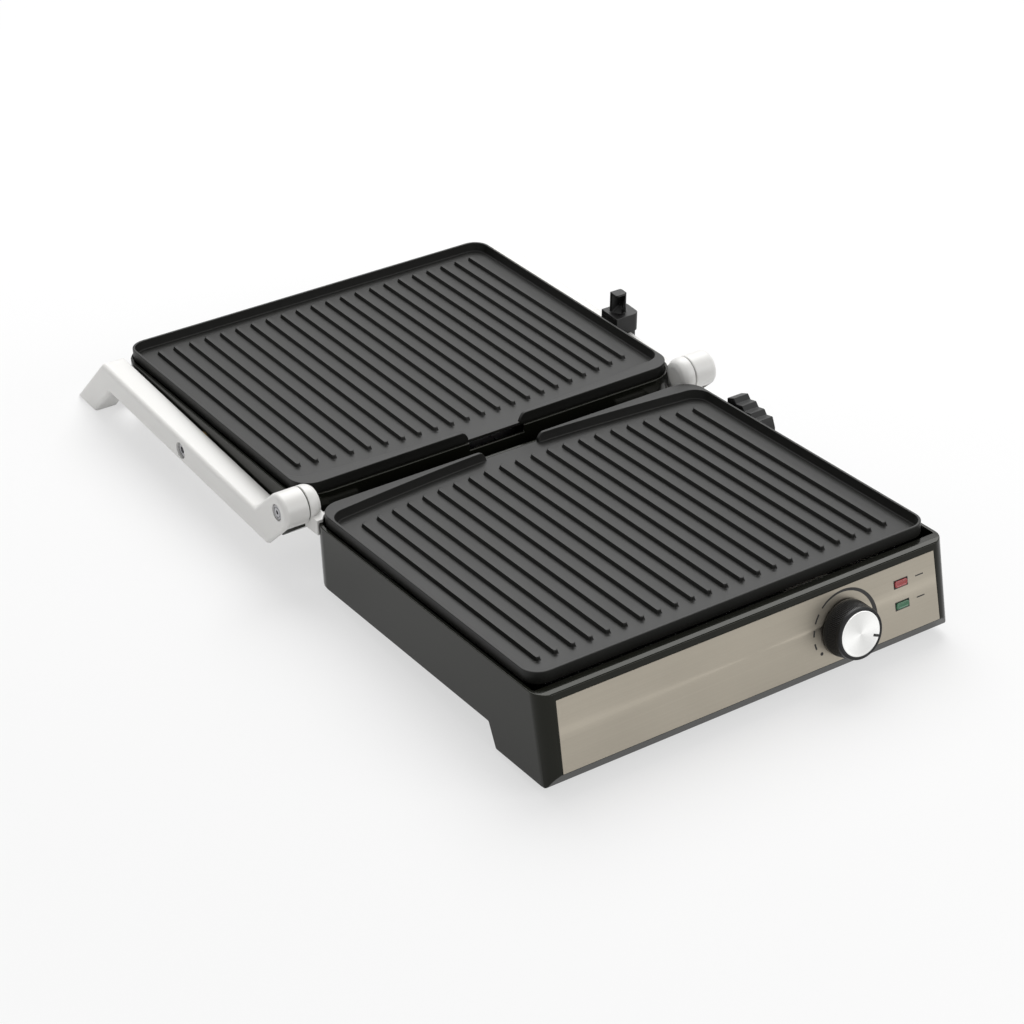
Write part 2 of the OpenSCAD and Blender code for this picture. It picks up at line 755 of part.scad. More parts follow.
// Thermostat: a body behind the wall and a bush that the shaft turns in
thermo_half = 16;
thermo_t = 18;
shaft_r = 3;
shaft_in = 16;
bush_out = 0.4;
blade_w = 6;
blade_t = 0.8;
blade_l = 8;
module thermostat_body() {
    color("ivory") placed() on_fascia() translate([knob_x, -knob_down, 0]) difference() {
        union() {
            box(-thermo_half, thermo_half, -thermo_half, thermo_half, -seat_depth - thermo_t, -seat_depth);
            hole_z(bush_r, -seat_depth - over, bush_out);
            for (x = [-1, 1]) translate([x * thermo_half / 2, 0, 0])
                box(-blade_w / 2, blade_w / 2, -blade_t / 2, blade_t / 2,
                    -seat_depth - thermo_t - blade_l, -seat_depth - thermo_t);
        }
        hole_z(shaft_r + pin_gap, -shaft_in - run_gap, bush_out + over);
    }
}
knob_roof = 2;
flute_r = 0.8;
knob_foot_h = 2;
knob_ring_h = 2.4;
cap_sink = 1.8;
cap_gap = 0.1;
notch_w = 1.6;
notch_l = 4.2;
pointer_turn = -23;
shaft_end = knob_h - cap_sink - knob_roof;
module at_knob() {
    placed() on_fascia() translate([knob_x, -knob_down, 0]) children();
}
module thermostat_shaft() {
    color("silver") at_knob() hole_z(shaft_r, -shaft_in, knob_gap + shaft_end);
}
module thermostat_knob() {
    slope = atan((knob_r - knob_front_r) / (knob_h - knob_foot_h));
    color("silver") at_knob() translate([0, 0, knob_gap]) difference() {
        rotate_extrude() polygon([
            [0, 0], [knob_r, 0], [knob_r, knob_foot_h], [knob_front_r, knob_h], [0, knob_h]
        ]);
        hole_z(shaft_r, -over, shaft_end);
        hole_z(knob_cap_r + cap_gap, knob_h - cap_sink, knob_h + over);
        for (k = [0:knob_flutes - 1])
            rotate([0, 0, 360 * k / knob_flutes]) translate([knob_r + flute_r / 2, 0, knob_foot_h])
                rotate([0, -slope, 0])
                    cylinder(r = flute_r, h = knob_h - knob_foot_h - knob_ring_h, $fn = small_fn);
    }
}
module knob_cap() {
    color("gainsboro") at_knob() translate([0, 0, knob_gap + knob_h - cap_sink]) difference() {
        cylinder(r = knob_cap_r, h = knob_cap_t);
        rotate([0, 0, pointer_turn])
            translate([knob_cap_r - notch_l, -notch_w / 2, knob_cap_t / 2])
                cube([notch_l + over, notch_w, knob_cap_t]);
    }
}

// Terminal block on the bottom cover
block_side = 85.3;
block_x = base_half_w - block_side;
block_share = 0.42;
block_w = 34;
block_l = 16;
block_h = 14;
block_hole_r = 2;
block_holes = 3;
module terminal_block() {
    color("ivory") placed()
        translate([block_x, base_back_y + (step_y - base_back_y) * block_share,
            base_under_z + cover_t]) difference() {
            box(-block_w / 2, block_w / 2, -block_l / 2, block_l / 2, 0, block_h);
            for (k = [0:block_holes - 1])
                translate([(k - (block_holes - 1) / 2) * block_w / block_holes, 0, 0])
                    hole_z(block_hole_r, block_h / 2, block_h + over);
        }
}
module cord_gland() {
    color("black") placed() at_gland() difference() {
        union() {
            hole_z(gland_r, -base_wall - gland_in, gland_out);
            hole_z(gland_flange_r, 0, gland_out);
        }
        hole_z(gland_bore_r, -base_wall - gland_in - over, gland_out + over);
    }
}

// Feet: rubber pads that end flat on the table
foot_side = 35.3;
foot_x = base_half_w - foot_side;
front_foot_r = 9;
rear_foot_r = 8;
rear_foot_in = 20;
foot_reach = 20;
module front_feet() {
    color("black") over_table() placed()
        for (x = [-foot_x, foot_x]) translate([x, (foot_front_y + foot_back_y) / 2, 0])
            hole_z(front_foot_r, foot_z - foot_reach, foot_z);
}
module rear_feet() {
    color("black") over_table() placed()
        for (x = [-foot_x, foot_x]) translate([x, base_back_y - rear_foot_in, 0])
            hole_z(rear_foot_r, base_under_z - foot_reach, base_under_z);
}

// Hinge: a domed knuckle on each bracket, the pin in it and the arm's barrel outside
knuckle_out_x = arm_in_x - run_gap - washer_t;
knuckle_in_x = knuckle_out_x - knuckle_l;
dome_share = 0.75;
dome_steps = 6;
flange_out_x = base_half_w - base_back_r;
web_in = 6;
web_under_knuckle = 5;
web_step_side = 11.3;
web_in_x = flange_out_x - web_in;
web_out_x = knuckle_in_x + web_under_knuckle;
web_step_x = base_half_w - web_step_side;
web_back_y = 1.5;
web_top_z = -11;
web_bottom_z = -15.5;
foot_under_z = -14.5;
toe_front_y = -18;
toe_back_y = -2;
toe_top_z = -4;
pin_in = 2;
end_screw_r = 2.2;
end_head_r = 4.8;
end_recess_r = 5.5;
end_recess = 3.8;
end_head_t = 3;
end_screw_in = 11;
ring_r = 3.3;
ring_w = 0.5;
ring_depth = 0.4;
pin_end_x = arm_out_x - end_recess;

// Radius of the knuckle at a distance x from its inner end
function dome_r(share) = knuckle_end_r + (barrel_r - knuckle_end_r) * sqrt(1 - pow(1 - share, 2));
module knuckle(grow) {
    dome_l = knuckle_l * dome_share;
    translate([knuckle_in_x, 0, 0]) rotate([0, 90, 0]) rotate_extrude() polygon([
        [0, -grow], for (k = [0:dome_steps]) [dome_r(k / dome_steps) + grow, dome_l * k / dome_steps],
        [barrel_r + grow, knuckle_l], [0, knuckle_l]
    ]);
}
module hinge_bracket() {
    difference() {
        union() {
            knuckle(0);
            box(web_in_x, web_step_x, base_back_y, web_back_y, web_bottom_z, web_top_z);
            box(web_step_x - over, web_out_x, base_back_y, web_back_y, foot_under_z, web_top_z);
            box(flange_in_x, flange_out_x, base_back_y, base_back_y + flange_t, flange_bottom_z,
                flange_top_z);
            box(knuckle_in_x, knuckle_out_x, toe_front_y, toe_back_y, foot_under_z, toe_top_z);
        }
        rod_x(pin_r, knuckle_in_x + pin_in, knuckle_out_x + over);
        translate([0, 0, foot_z]) linear_extrude(-foot_z - base_top_drop)
            polygon(plan(base_half_w, fascia_bottom_y, base_back_y, base_front_r, base_back_r));
        translate([0, 0, -base_top_drop - over]) linear_extrude(base_top_drop + over + plate_rim_up)
            polygon(plan(plate_half_w + over, plate_front_y, -base_back + over, plate_front_r,
                plate_back_r));
        bracket_screw_places() hole_z(bracket_screw_r, -over, flange_t + over);
    }
}
module right_hinge_bracket() {
    color("lightgray") placed() hinge_bracket();
}
module left_hinge_bracket() {
    color("lightgray") placed() mirror([1, 0, 0]) hinge_bracket();
}
module bracket_screws() {
    color("gray") placed() both_sides() bracket_screw_places() {
        hole_z(bracket_screw_r, 0, bracket_screw_l);
        translate([0, 0, -bracket_head_t]) slotted_head(bracket_head_r, bracket_head_t);
    }
}
module hinge_pins() {
    color("gray") placed() both_sides() difference() {
        rod_x(pin_r, knuckle_in_x + pin_in, pin_end_x);
        rod_x(end_screw_r, pin_end_x - end_screw_in, pin_end_x + over);
    }
}
module hinge_end_screws() {
    color("silver") placed() both_sides() {
        rod_x(end_screw_r, pin_end_x - end_screw_in, pin_end_x + run_gap);
        difference() {
            rod_x(end_head_r, pin_end_x + run_gap, pin_end_x + run_gap + end_head_t);
            difference() {
                rod_x(ring_r + ring_w, pin_end_x + run_gap + end_head_t - ring_depth, arm_out_x + over);
                rod_x(ring_r, pin_end_x, arm_out_x + 2 * over);
            }
        }
    }
}
module hinge_washers() {
    color("dimgray") placed() both_sides() difference() {
        rod_x(barrel_r - over, knuckle_out_x, knuckle_out_x + washer_t);
        rod_x(pin_r, knuckle_out_x - over, knuckle_out_x + washer_t + over);
    }
}

// Arms: a neck from the barrel at 45 degrees, a straight band and a slanted leg
neck = barrel_r * sqrt(2);
band_under = -arm_drop - arm_h;
leg_run = 90;
leg_side = [cos(leg_slope), -sin(leg_slope)];
leg_across = leg_w / sin(leg_slope);
leg_in_along = arm_l - leg_across + arm_h / tan(leg_slope);
heel_r = 3;
neck_round = 8;
neck_wall = 3;
neck_hollow_h = 9;
crook_r = 4;
leg_root_r = 1;
grip_share = 0.74;
core_r = 4;
core_in = 8;
pivot_recess = 4.4;
pivot_head_r = 5.2;
pivot_head_t = 3;
pivot_screw_in = 8;

function arm_outline() = rounded([
    [-neck / 2, -neck / 2], [-band_under - neck, band_under], [leg_in_along, band_under],
    [leg_in_along, band_under] + leg_run * leg_side, [arm_l, -arm_drop] + leg_run * leg_side,
    [arm_l, -arm_drop], [neck + arm_drop, -arm_drop], [neck / 2, neck / 2]
], [0, heel_r, leg_root_r, 0, 0, crook_r, neck_round, 0]);
grip_place = [arm_l, -arm_drop] + leg_side * (hinge_height - arm_drop) * grip_share / sin(leg_slope)
    - [sin(leg_slope), cos(leg_slope)] * leg_w / 2;
module at_grip() {
    translate([0, grip_place.x, grip_place.y]) children();
}
// Hollow behind the neck's outer wall, open to the front and below; the barrel stays whole
module neck_hollow() {
    difference() {
        along_x(arm_in_x - over, arm_out_x - neck_wall) translate([-neck / 2, -neck / 2]) rotate(-45)
            translate([0, -over]) square([-2 * band_under, over + neck_hollow_h]);
        rod_x(barrel_r, arm_in_x - 2 * over, arm_out_x);
    }
}
module arm() {
    in_arm() difference() {
        union() {
            along_x(arm_in_x, arm_out_x) polygon(arm_outline());
            rod_x(barrel_r, arm_in_x, arm_out_x);
        }
        neck_hollow();
        rod_x(pin_r + pin_gap, arm_in_x - over, arm_out_x);
        rod_x(end_recess_r, pin_end_x, arm_out_x + over);
        at_pivot() {
            rod_x(pivot_r, arm_in_x - over, arm_out_x);
            rod_x(pivot_recess_r, arm_out_x - pivot_recess, arm_out_x + over);
        }
        at_grip() rod_x(core_r, arm_in_x - over, arm_in_x + core_in);
    }
}
module right_arm() {
    color("whitesmoke") over_table() placed() arm();
}
module left_arm() {
    color("whitesmoke") over_table() placed() mirror([1, 0, 0]) arm();
}
module handle_grip() {
    color("black") placed() in_arm() at_grip() difference() {
        rod_x(grip_r, -arm_in_x, arm_in_x);
        rod_x(core_r, -arm_in_x - over, arm_in_x + over);
    }
}
module handle_core() {
    color("gray") placed() in_arm() at_grip() rod_x(core_r, -arm_in_x - core_in, arm_in_x + core_in);
}
module lid_pivot_screws() {
    head_x = arm_out_x - pivot_recess;
    color("gray") placed() in_arm() at_pivot() both_sides() {
        rod_x(pivot_r, base_half_w - pivot_screw_in, head_x);
        difference() {
            rod_x(pivot_head_r, head_x, head_x + pivot_head_t);
            box(head_x + pivot_head_t / 2, arm_out_x, -screw_slot / 2, screw_slot / 2, -arm_h, arm_h);
        }
    }
}

// Lid housing with its steel cover, bushes for the pivots and posts for the plate
lid_half_w = base_half_w;
lid_shell_under = -lid_depth + lid_cover_t;
lid_floor_t = 2.4;
lid_front_r = 21;
plate_room = 0.4;
lid_notch_side = 1;
lid_notch_down = 7;
scallop_gap = 0.6;
pivot_boss_r = 9;
bush_out_r = 6;
bush_flange_r = 8;
bush_flange_t = 0.6;
bush_l = 8;
pivot_boss_l = 6;
cover_inset = 1.3;
cover_back_r = 9;
// Slope of the hinge-side wall's lower part, and the height where it starts
heel_top = 20.5;
heel_angle = 35.8;
heel_end_y = -lid_margin + (lid_depth - heel_top) / tan(heel_angle);
stud_r = 1.5;
stud_side = 81.5;
stud_x = plate_half_w - stud_side;
stud_shares = [0.16, 0.84];
stud_l = 2;
module lid_studs() {
    for (x = [-stud_x, stud_x], share = stud_shares) translate([x, plate_l * share, 0]) children();
}
module at_lid_pivot() {
    translate([0, lid_pivot_in, -lid_pivot_down]) children();
}
module above_heel(inset) {
    along_x(-space, space) translate([-lid_margin, -heel_top]) rotate(-heel_angle)
        translate([-space, inset]) square([2 * space, space]);
}
module lid_shell() {
    floor_top = lid_shell_under + lid_floor_t;
    color("darkolivegreen") placed() difference() {
        in_lid() difference() {
            union() {
                difference() {
                    intersection() {
                        translate([0, 0, lid_shell_under])
                            linear_extrude(-lid_edge_down - lid_shell_under)
                                polygon(plan(lid_half_w, -lid_margin, plate_l + lid_margin,
                                    lid_back_r, lid_front_r));
                        above_heel(0);
                    }
                    intersection() {
                        translate([0, 0, floor_top]) linear_extrude(lid_depth)
                            polygon(plan(lid_half_w - lid_wall, -lid_margin + lid_wall,
                                plate_l + lid_margin - lid_wall, lid_back_r - lid_wall,
                                lid_front_r - lid_wall));
                        above_heel(lid_wall);
                    }
                }
                plate_bosses() hole_z(post_r, lid_shell_under, pan_under);
                at_lid_pivot() both_sides()
                    rod_x(pivot_boss_r, lid_half_w - lid_wall / 2 - pivot_boss_l, lid_half_w - lid_wall / 2);
            }
            plate_bosses() post_holes(lid_shell_under);
            at_lid_pivot() both_sides() rod_x(bush_out_r,
                lid_half_w - lid_wall - pivot_boss_l - over, lid_half_w + over);
            lid_studs() hole_z(stud_r, lid_shell_under - over, lid_shell_under + stud_l);
            translate([0, 0, -plate_skirt_down - plate_room]) linear_extrude(lid_depth)
                polygon(plan(plate_half_w + plate_room, -plate_room, plate_l + plate_room,
                    plate_back_r + plate_room, plate_front_r + plate_room));
            box(-spout_w / 2 - lid_notch_side, spout_w / 2 + lid_notch_side, -lid_margin - over,
                -lid_margin + lid_wall + over, -lid_notch_down, 0);
        }
        both_sides() knuckle(scallop_gap);
    }
}
module lid_cover() {
    color("gainsboro") placed() in_lid() {
        translate([0, 0, -lid_depth]) linear_extrude(lid_cover_t)
            polygon(plan(lid_half_w - cover_inset, heel_end_y + cover_inset,
                plate_l + lid_margin - cover_inset, cover_back_r, lid_front_r - cover_inset));
        lid_studs() hole_z(stud_r, -lid_depth, lid_shell_under + stud_l);
    }
}
module upper_plate_screws() {
    color("gray") placed() in_lid() plate_bosses() plate_screw(lid_shell_under);
}
module lid_pivot_bushes() {
    color("goldenrod") placed() in_lid() at_lid_pivot() both_sides() difference() {
        union() {
            rod_x(bush_out_r, lid_half_w - bush_l, lid_half_w + bush_flange_t);
            rod_x(bush_flange_r, lid_half_w, lid_half_w + bush_flange_t);
        }
        rod_x(pivot_r + pin_gap, lid_half_w - bush_l - over, lid_half_w + bush_flange_t + over);
    }
}

// Stepped rack on the base's right wall
rack_back_l = 7;
rack_back_drop = 2.5;
rack_notch_l = 2.7;
rack_notch_drop = 3.2;
rack_under_z = -17;
rack_plate_t = 2.2;
rack_end_drop = 7;
function step_edge(k) = -step_first - k * step_pitch;
function step_z(k) = step_top - k * step_drop;
module height_step_rack() {
    last = step_count - 1;
    teeth = [for (k = [0:last]) each [
        [step_edge(k), step_z(k)],
        [step_edge(k) - rack_notch_l, step_z(k) - (k == last ? rack_end_drop : rack_notch_drop)]
    ]];
    color("black") placed() along_x(base_half_w, base_half_w + rack_plate_t + step_w) polygon([
        [step_edge(0) + rack_back_l, step_z(0) - rack_back_drop], each teeth,
        [step_edge(last) - rack_notch_l, rack_under_z],
        [step_edge(0) + rack_back_l, rack_under_z]
    ]);
}

// Clip that slides along the right arm and lands on the rack
clip_hook_t = 5;
clip_inset = 2.8;
clip_lip = 2.6;
clip_lip_w = 8;
clip_post_w = 9.4;
clip_post_l = 8;
clip_post_x = 5.8;
clip_post_wall = 2.4;
clip_post_r = 2;
clip_block_r = 4.5;
clip_cap_t = 1.6;
clip_ramp_h = 5;
module height_clip() {
    x0 = arm_in_x + clip_inset;
    x1 = arm_out_x + run_gap + clip_hook_t;
    z_top = -arm_drop;
    post_x = arm_in_x + clip_post_x;
    post_w = clip_post_w - clip_post_wall;
    post_l = clip_post_l - clip_post_wall;
    color("black") placed() in_arm() translate([0, clip_along, 0]) difference() {
        union() {
            translate([x0, -clip_l / 2, z_top + run_gap]) linear_extrude(clip_h - run_gap)
                polygon(rounded([[0, 0], [x1 - x0, 0], [x1 - x0, clip_l], [0, clip_l]],
                    [0, clip_block_r, clip_block_r, 0]));
            box(arm_out_x + run_gap, x1, -clip_l / 2 + clip_block_r, clip_l / 2 - clip_block_r,
                band_under - run_gap - clip_lip, z_top + clip_h - over);
            box(arm_out_x - clip_lip_w, x1, -clip_l / 2 + clip_block_r, clip_l / 2 - clip_block_r,
                band_under - run_gap - clip_lip, band_under - run_gap);
            translate([post_x, -clip_post_l / 2, z_top + clip_h - over])
                linear_extrude(clip_post_h - clip_h + over)
                    polygon(rounded([[0, 0], [clip_post_w, 0], [clip_post_w, clip_post_l],
                        [0, clip_post_l]], [clip_post_r, clip_post_r, clip_post_r, 0]));
        }
        difference() {
            box(post_x - over, post_x + post_w, -clip_post_l / 2 - over, -clip_post_l / 2 + post_l,
                z_top + clip_h, z_top + clip_post_h - clip_cap_t);
            translate([post_x + post_w + over, -clip_post_l / 2 + post_l + over, z_top + clip_h - over])
                rotate_extrude() polygon([
                    [0, 0], [post_w + 2 * over, 0], [over, clip_ramp_h + over], [0, clip_ramp_h + over]
                ]);
        }
    }
}

// Drip tray: lies level in its tunnel and draws out backwards
tray_t = 1;
tray_z = 0.7;
tray_flange_t = 0.8;
tray_grip_l = 6;
module drip_tray() {
    top = tray_z + tray_h;
    half_w = tray_w / 2;
    y0 = tray_back_y - tray_l;
    color("silver") level() difference() {
        union() {
            box(-half_w, half_w, y0, tray_back_y, tray_z, top);
            box(-half_w - tray_flange, half_w + tray_flange, y0, tray_back_y, top - tray_flange_t, top);
            box(-half_w / 2, half_w / 2, tray_back_y, tray_back_y + tray_grip_l, top - tray_flange_t, top);
        }
        box(-half_w + tray_t, half_w - tray_t, y0 + tray_t, tray_back_y - tray_t, tray_z + tray_t,
            top + over);
    }
}

base_shell();
base_bottom_cover();
control_fascia();
lower_plate();
lower_plate_screws();
lower_heating_element();
lower_reflector();
thermostat_body();
red_lamp_lens();
green_lamp_lens();
lamp_holder();
terminal_block();
lower_thermal_fuse();
cord_gland();
left_hinge_bracket();
right_hinge_bracket();
bracket_screws();
hinge_pins();
hinge_end_screws();
hinge_washers();
height_step_rack();
front_feet();
rear_feet();
base_cover_screws();
left_arm();
right_arm();
handle_grip();
handle_core();
lid_pivot_screws();
lid_shell();
lid_cover();
upper_plate();
upper_plate_screws();
upper_heating_element();
upper_reflector();
upper_thermal_fuse();
lid_pivot_bushes();
thermostat_knob();
knob_cap();
thermostat_shaft();
drip_tray();
height_clip();
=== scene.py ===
# %% [markdown]
# An electric contact grill, dressed in Blender
#
# The grill lies fully open: the control base in front, the lid turned over behind it, and both
# ribbed plates facing up. The solid model comes in as a fixed frame in metres, standing on z = 0.
# This lesson puts finished surfaces and materials on it, one piece at a time.

# %% Load the frame and keep its box
import json
import math
import bmesh
import bpy
import numpy as np
from mathutils import Matrix, Vector
from mathutils.geometry import tessellate_polygon


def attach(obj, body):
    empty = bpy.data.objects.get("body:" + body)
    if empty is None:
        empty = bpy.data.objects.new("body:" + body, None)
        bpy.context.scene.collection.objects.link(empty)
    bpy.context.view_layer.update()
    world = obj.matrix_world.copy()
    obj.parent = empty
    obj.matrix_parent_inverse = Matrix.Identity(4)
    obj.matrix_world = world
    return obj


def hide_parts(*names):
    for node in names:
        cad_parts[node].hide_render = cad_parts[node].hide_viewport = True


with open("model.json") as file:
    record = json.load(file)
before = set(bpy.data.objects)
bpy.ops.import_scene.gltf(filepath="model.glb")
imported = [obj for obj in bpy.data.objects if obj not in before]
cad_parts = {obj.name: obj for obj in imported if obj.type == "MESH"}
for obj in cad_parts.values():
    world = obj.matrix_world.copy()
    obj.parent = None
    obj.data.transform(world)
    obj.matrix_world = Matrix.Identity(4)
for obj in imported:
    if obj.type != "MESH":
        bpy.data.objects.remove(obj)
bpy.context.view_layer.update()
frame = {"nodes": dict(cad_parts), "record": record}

nodes = frame["nodes"]
body_of_node = {n: b for b, names in frame["record"]["behaviour"]["bodies"].items() for n in names}
slot_of_node = {s["node"]: s["material_slot"] for s in frame["record"]["subparts"]}

# %% [markdown]
# Camera first, because everything is judged through it. Its place and lens were solved from the
# rib ends of both plates, so straight edges fall where the photograph has them.

# %% Camera
cam_data = bpy.data.cameras.new("camera")
cam_data.lens, cam_data.sensor_width = 96.44, 36.0
camera = bpy.data.objects.new("camera", cam_data)
bpy.context.scene.collection.objects.link(camera)
cam_right = np.array([0.8339, -0.55184, -0.00396])
cam_up = np.array([0.2977, 0.44385, 0.8452])
cam_back = np.array([-0.4647, -0.70604, 0.53439])
cam_place = np.array([-0.82859, -1.27310, 0.95655])
turn = np.eye(4)
turn[:3, :4] = np.stack([cam_right, cam_up, cam_back, cam_place], 1)
camera.matrix_world = Matrix(turn.tolist())
bpy.context.scene.camera = camera
cam_data.clip_end = 30
print("camera", np.round(cam_place, 3).tolist(), "lens", cam_data.lens)

# %% [markdown]
# The grill leans back a little on its feet and its lid hangs on pivots in the arms, so each group
# has a frame of its own. These functions carry points in millimetres from a group's frame to the
# table's frame in metres, with the same numbers that the solids were drawn with.

# %% Frames of the body, the arms, the lid and the panel
BODY_LEAN, HINGE_Z, MIDDLE_Y = 3.6, 54.8, -1.74916
BASE_BACK, BASE_DROP = 10.6, 4.3
LID_LEAN, LID_RIM_Y, LID_RIM_Z = 1.66, 7.77534, 1.60625
PANEL_LEAN, PANEL_TOP_Y, PANEL_TOP_Z = 8.84, -262.8, -11.3
ARM_LEAN, ARM_IN, ARM_OUT = 4.94, 148.2, 165.4


def tilt(points, degrees):
    """Turn points about X: y and z follow the cosine and sine of the angle."""
    c, s = math.cos(math.radians(degrees)), math.sin(math.radians(degrees))
    x, y, z = np.moveaxis(np.asarray(points, float), -1, 0)
    return np.stack([x, y * c - z * s, y * s + z * c], -1)


def body_frame(points):
    """Lean the body back, lift the hinge axis to its height and go from mm to m."""
    return (tilt(points, -BODY_LEAN) + [0, MIDDLE_Y, HINGE_Z]) / 1000


def base_frame(points):
    """Plate frame of the base: y runs from the hinge towards the front, so it is turned round."""
    return body_frame(np.asarray(points, float) * [1, -1, 1] + [0, -BASE_BACK, -BASE_DROP])


def lid_frame(points):
    """Plate frame of the lid: leaned and set on the lid's hinge-side rim."""
    return body_frame(tilt(points, LID_LEAN) + [0, LID_RIM_Y, LID_RIM_Z])


def panel_frame(points):
    """Panel frame: x across, y up the panel, z out of its face."""
    return body_frame(tilt(points, 90 - PANEL_LEAN) + [0, PANEL_TOP_Y, PANEL_TOP_Z])


def arm_frame(points):
    """Arm frame: y along the straight band, z square to it."""
    return body_frame(tilt(points, ARM_LEAN))


print("panel top at", np.round(panel_frame([[0, 0, 0]]), 4).tolist())

# %% [markdown]
# Every new piece is a grid of points worked out with numpy. One helper turns such a grid into a
# mesh. The next one dresses a solid whose form is right already: it takes a copy, merges its
# loose triangles into plain faces and gives every sharp edge the small radius that moulded and
# pressed parts really have, which is what catches the light.

# %% Helpers that make meshes
def add_piece(name, points, faces, body, node=None, smooth=True):
    """Mesh from points and faces; it rides on a body and may stand for a solid."""
    mesh = bpy.data.meshes.new(name)
    mesh.from_pydata(np.asarray(points, float).reshape(-1, 3).tolist(), [], faces)
    mesh.validate()
    mesh.polygons.foreach_set("use_smooth", [smooth] * len(mesh.polygons))
    bm = bmesh.new()
    bm.from_mesh(mesh)
    bmesh.ops.recalc_face_normals(bm, faces=bm.faces)
    bm.to_mesh(mesh)
    bm.free()
    piece = bpy.data.objects.new(name, mesh)
    bpy.context.scene.collection.objects.link(piece)
    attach(piece, body)
    if node:
        for one in [node] if isinstance(node, str) else node:
            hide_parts(one)
    return piece


def grid_faces(rows, columns, first=0, wrap_rows=False, wrap_columns=False):
    """Quads between neighbouring rows and columns of a grid numbered row by row."""
    r = np.arange(rows if wrap_rows else rows - 1)
    c = np.arange(columns if wrap_columns else columns - 1)
    r, c = (a.ravel() for a in np.meshgrid(r, c, indexing="ij"))
    r1, c1 = (r + 1) % rows, (c + 1) % columns
    quads = np.stack([r * columns + c, r * columns + c1, r1 * columns + c1, r1 * columns + c], 1)
    return (quads + first).tolist()


def joined(*shells):
    """Put several (points, faces) shells into one list of points and faces."""
    points, faces, first = [], [], 0
    for p, f in shells:
        p = np.asarray(p, float).reshape(-1, 3)
        points.append(p)
        faces += [[i + first for i in face] for face in f]
        first += len(p)
    return np.concatenate(points), faces


def lathe(profile, around=64, wave=None):
    """Turn a profile of (radius, height) about z; wave(angle, height) is added to the radius."""
    r, z = np.asarray(profile, float).T
    angle = np.linspace(0, 2 * np.pi, around, endpoint=False)
    radius = r[:, None] + (wave(angle[None, :], z[:, None]) if wave else 0 * angle[None, :])
    points = np.stack([radius * np.cos(angle), radius * np.sin(angle),
                       np.broadcast_to(z[:, None], radius.shape)], -1)
    faces = grid_faces(len(r), around, wrap_columns=True)
    faces.append(list(range(around)))
    faces.append(list(range((len(r) - 1) * around, len(r) * around)))
    return points.reshape(-1, 3), faces


def merged(piece):
    """Join points that lie on one another, which drops the faces without area between them."""
    bm = bmesh.new()
    bm.from_mesh(piece.data)
    bmesh.ops.remove_doubles(bm, verts=bm.verts, dist=1e-7)
    bmesh.ops.recalc_face_normals(bm, faces=bm.faces)
    bm.to_mesh(piece.data)
    bm.free()
    return piece


def weighted(piece):
    """Let the large flat faces rule the shading, so that they stay flat between round edges."""
    modifier = piece.modifiers.new("weighted normals", "WEIGHTED_NORMAL")
    modifier.keep_sharp = True
    return piece


def softened(node, width, segments=3, angle=35):
    """Copy of a solid with merged flat faces and rounded edges; width in mm."""
    bm = bmesh.new()
    bm.from_mesh(nodes[node].data)
    bmesh.ops.remove_doubles(bm, verts=bm.verts, dist=2e-6)
    bmesh.ops.dissolve_limit(bm, angle_limit=math.radians(0.3), verts=bm.verts, edges=bm.edges)
    for face in bm.faces:
        face.smooth = True
    mesh = bpy.data.meshes.new(node + "_finish")
    bm.to_mesh(mesh)
    bm.free()
    piece = bpy.data.objects.new(node + "_finish", mesh)
    bpy.context.scene.collection.objects.link(piece)
    bevel = piece.modifiers.new("edge radius", "BEVEL")
    bevel.width, bevel.segments, bevel.limit_method = width / 1000, segments, "ANGLE"
    bevel.angle_limit, bevel.use_clamp_overlap = math.radians(angle), False
    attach(piece, body_of_node[node])
    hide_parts(node)
    return weighted(piece)


print("helpers ready")

# %% [markdown]
# Materials. Each finish starts from the same recipe: noise in the piece's own coordinates gives
# slow changes of colour, fine grain in the roughness and a slight bump. What makes a finish its
# own is the size and stretch of that noise and the few plain numbers on the shader. Colours are
# written as they look on a screen and changed to linear light.

# %% Helper for materials
def linear(*rgb):
    """Screen colour 0..255 to linear light."""
    v = np.asarray(rgb, float) / 255
    return tuple(np.where(v <= 0.04045, v / 12.92, ((v + 0.055) / 1.055) ** 2.4)) + (1.0,)


materials = {}


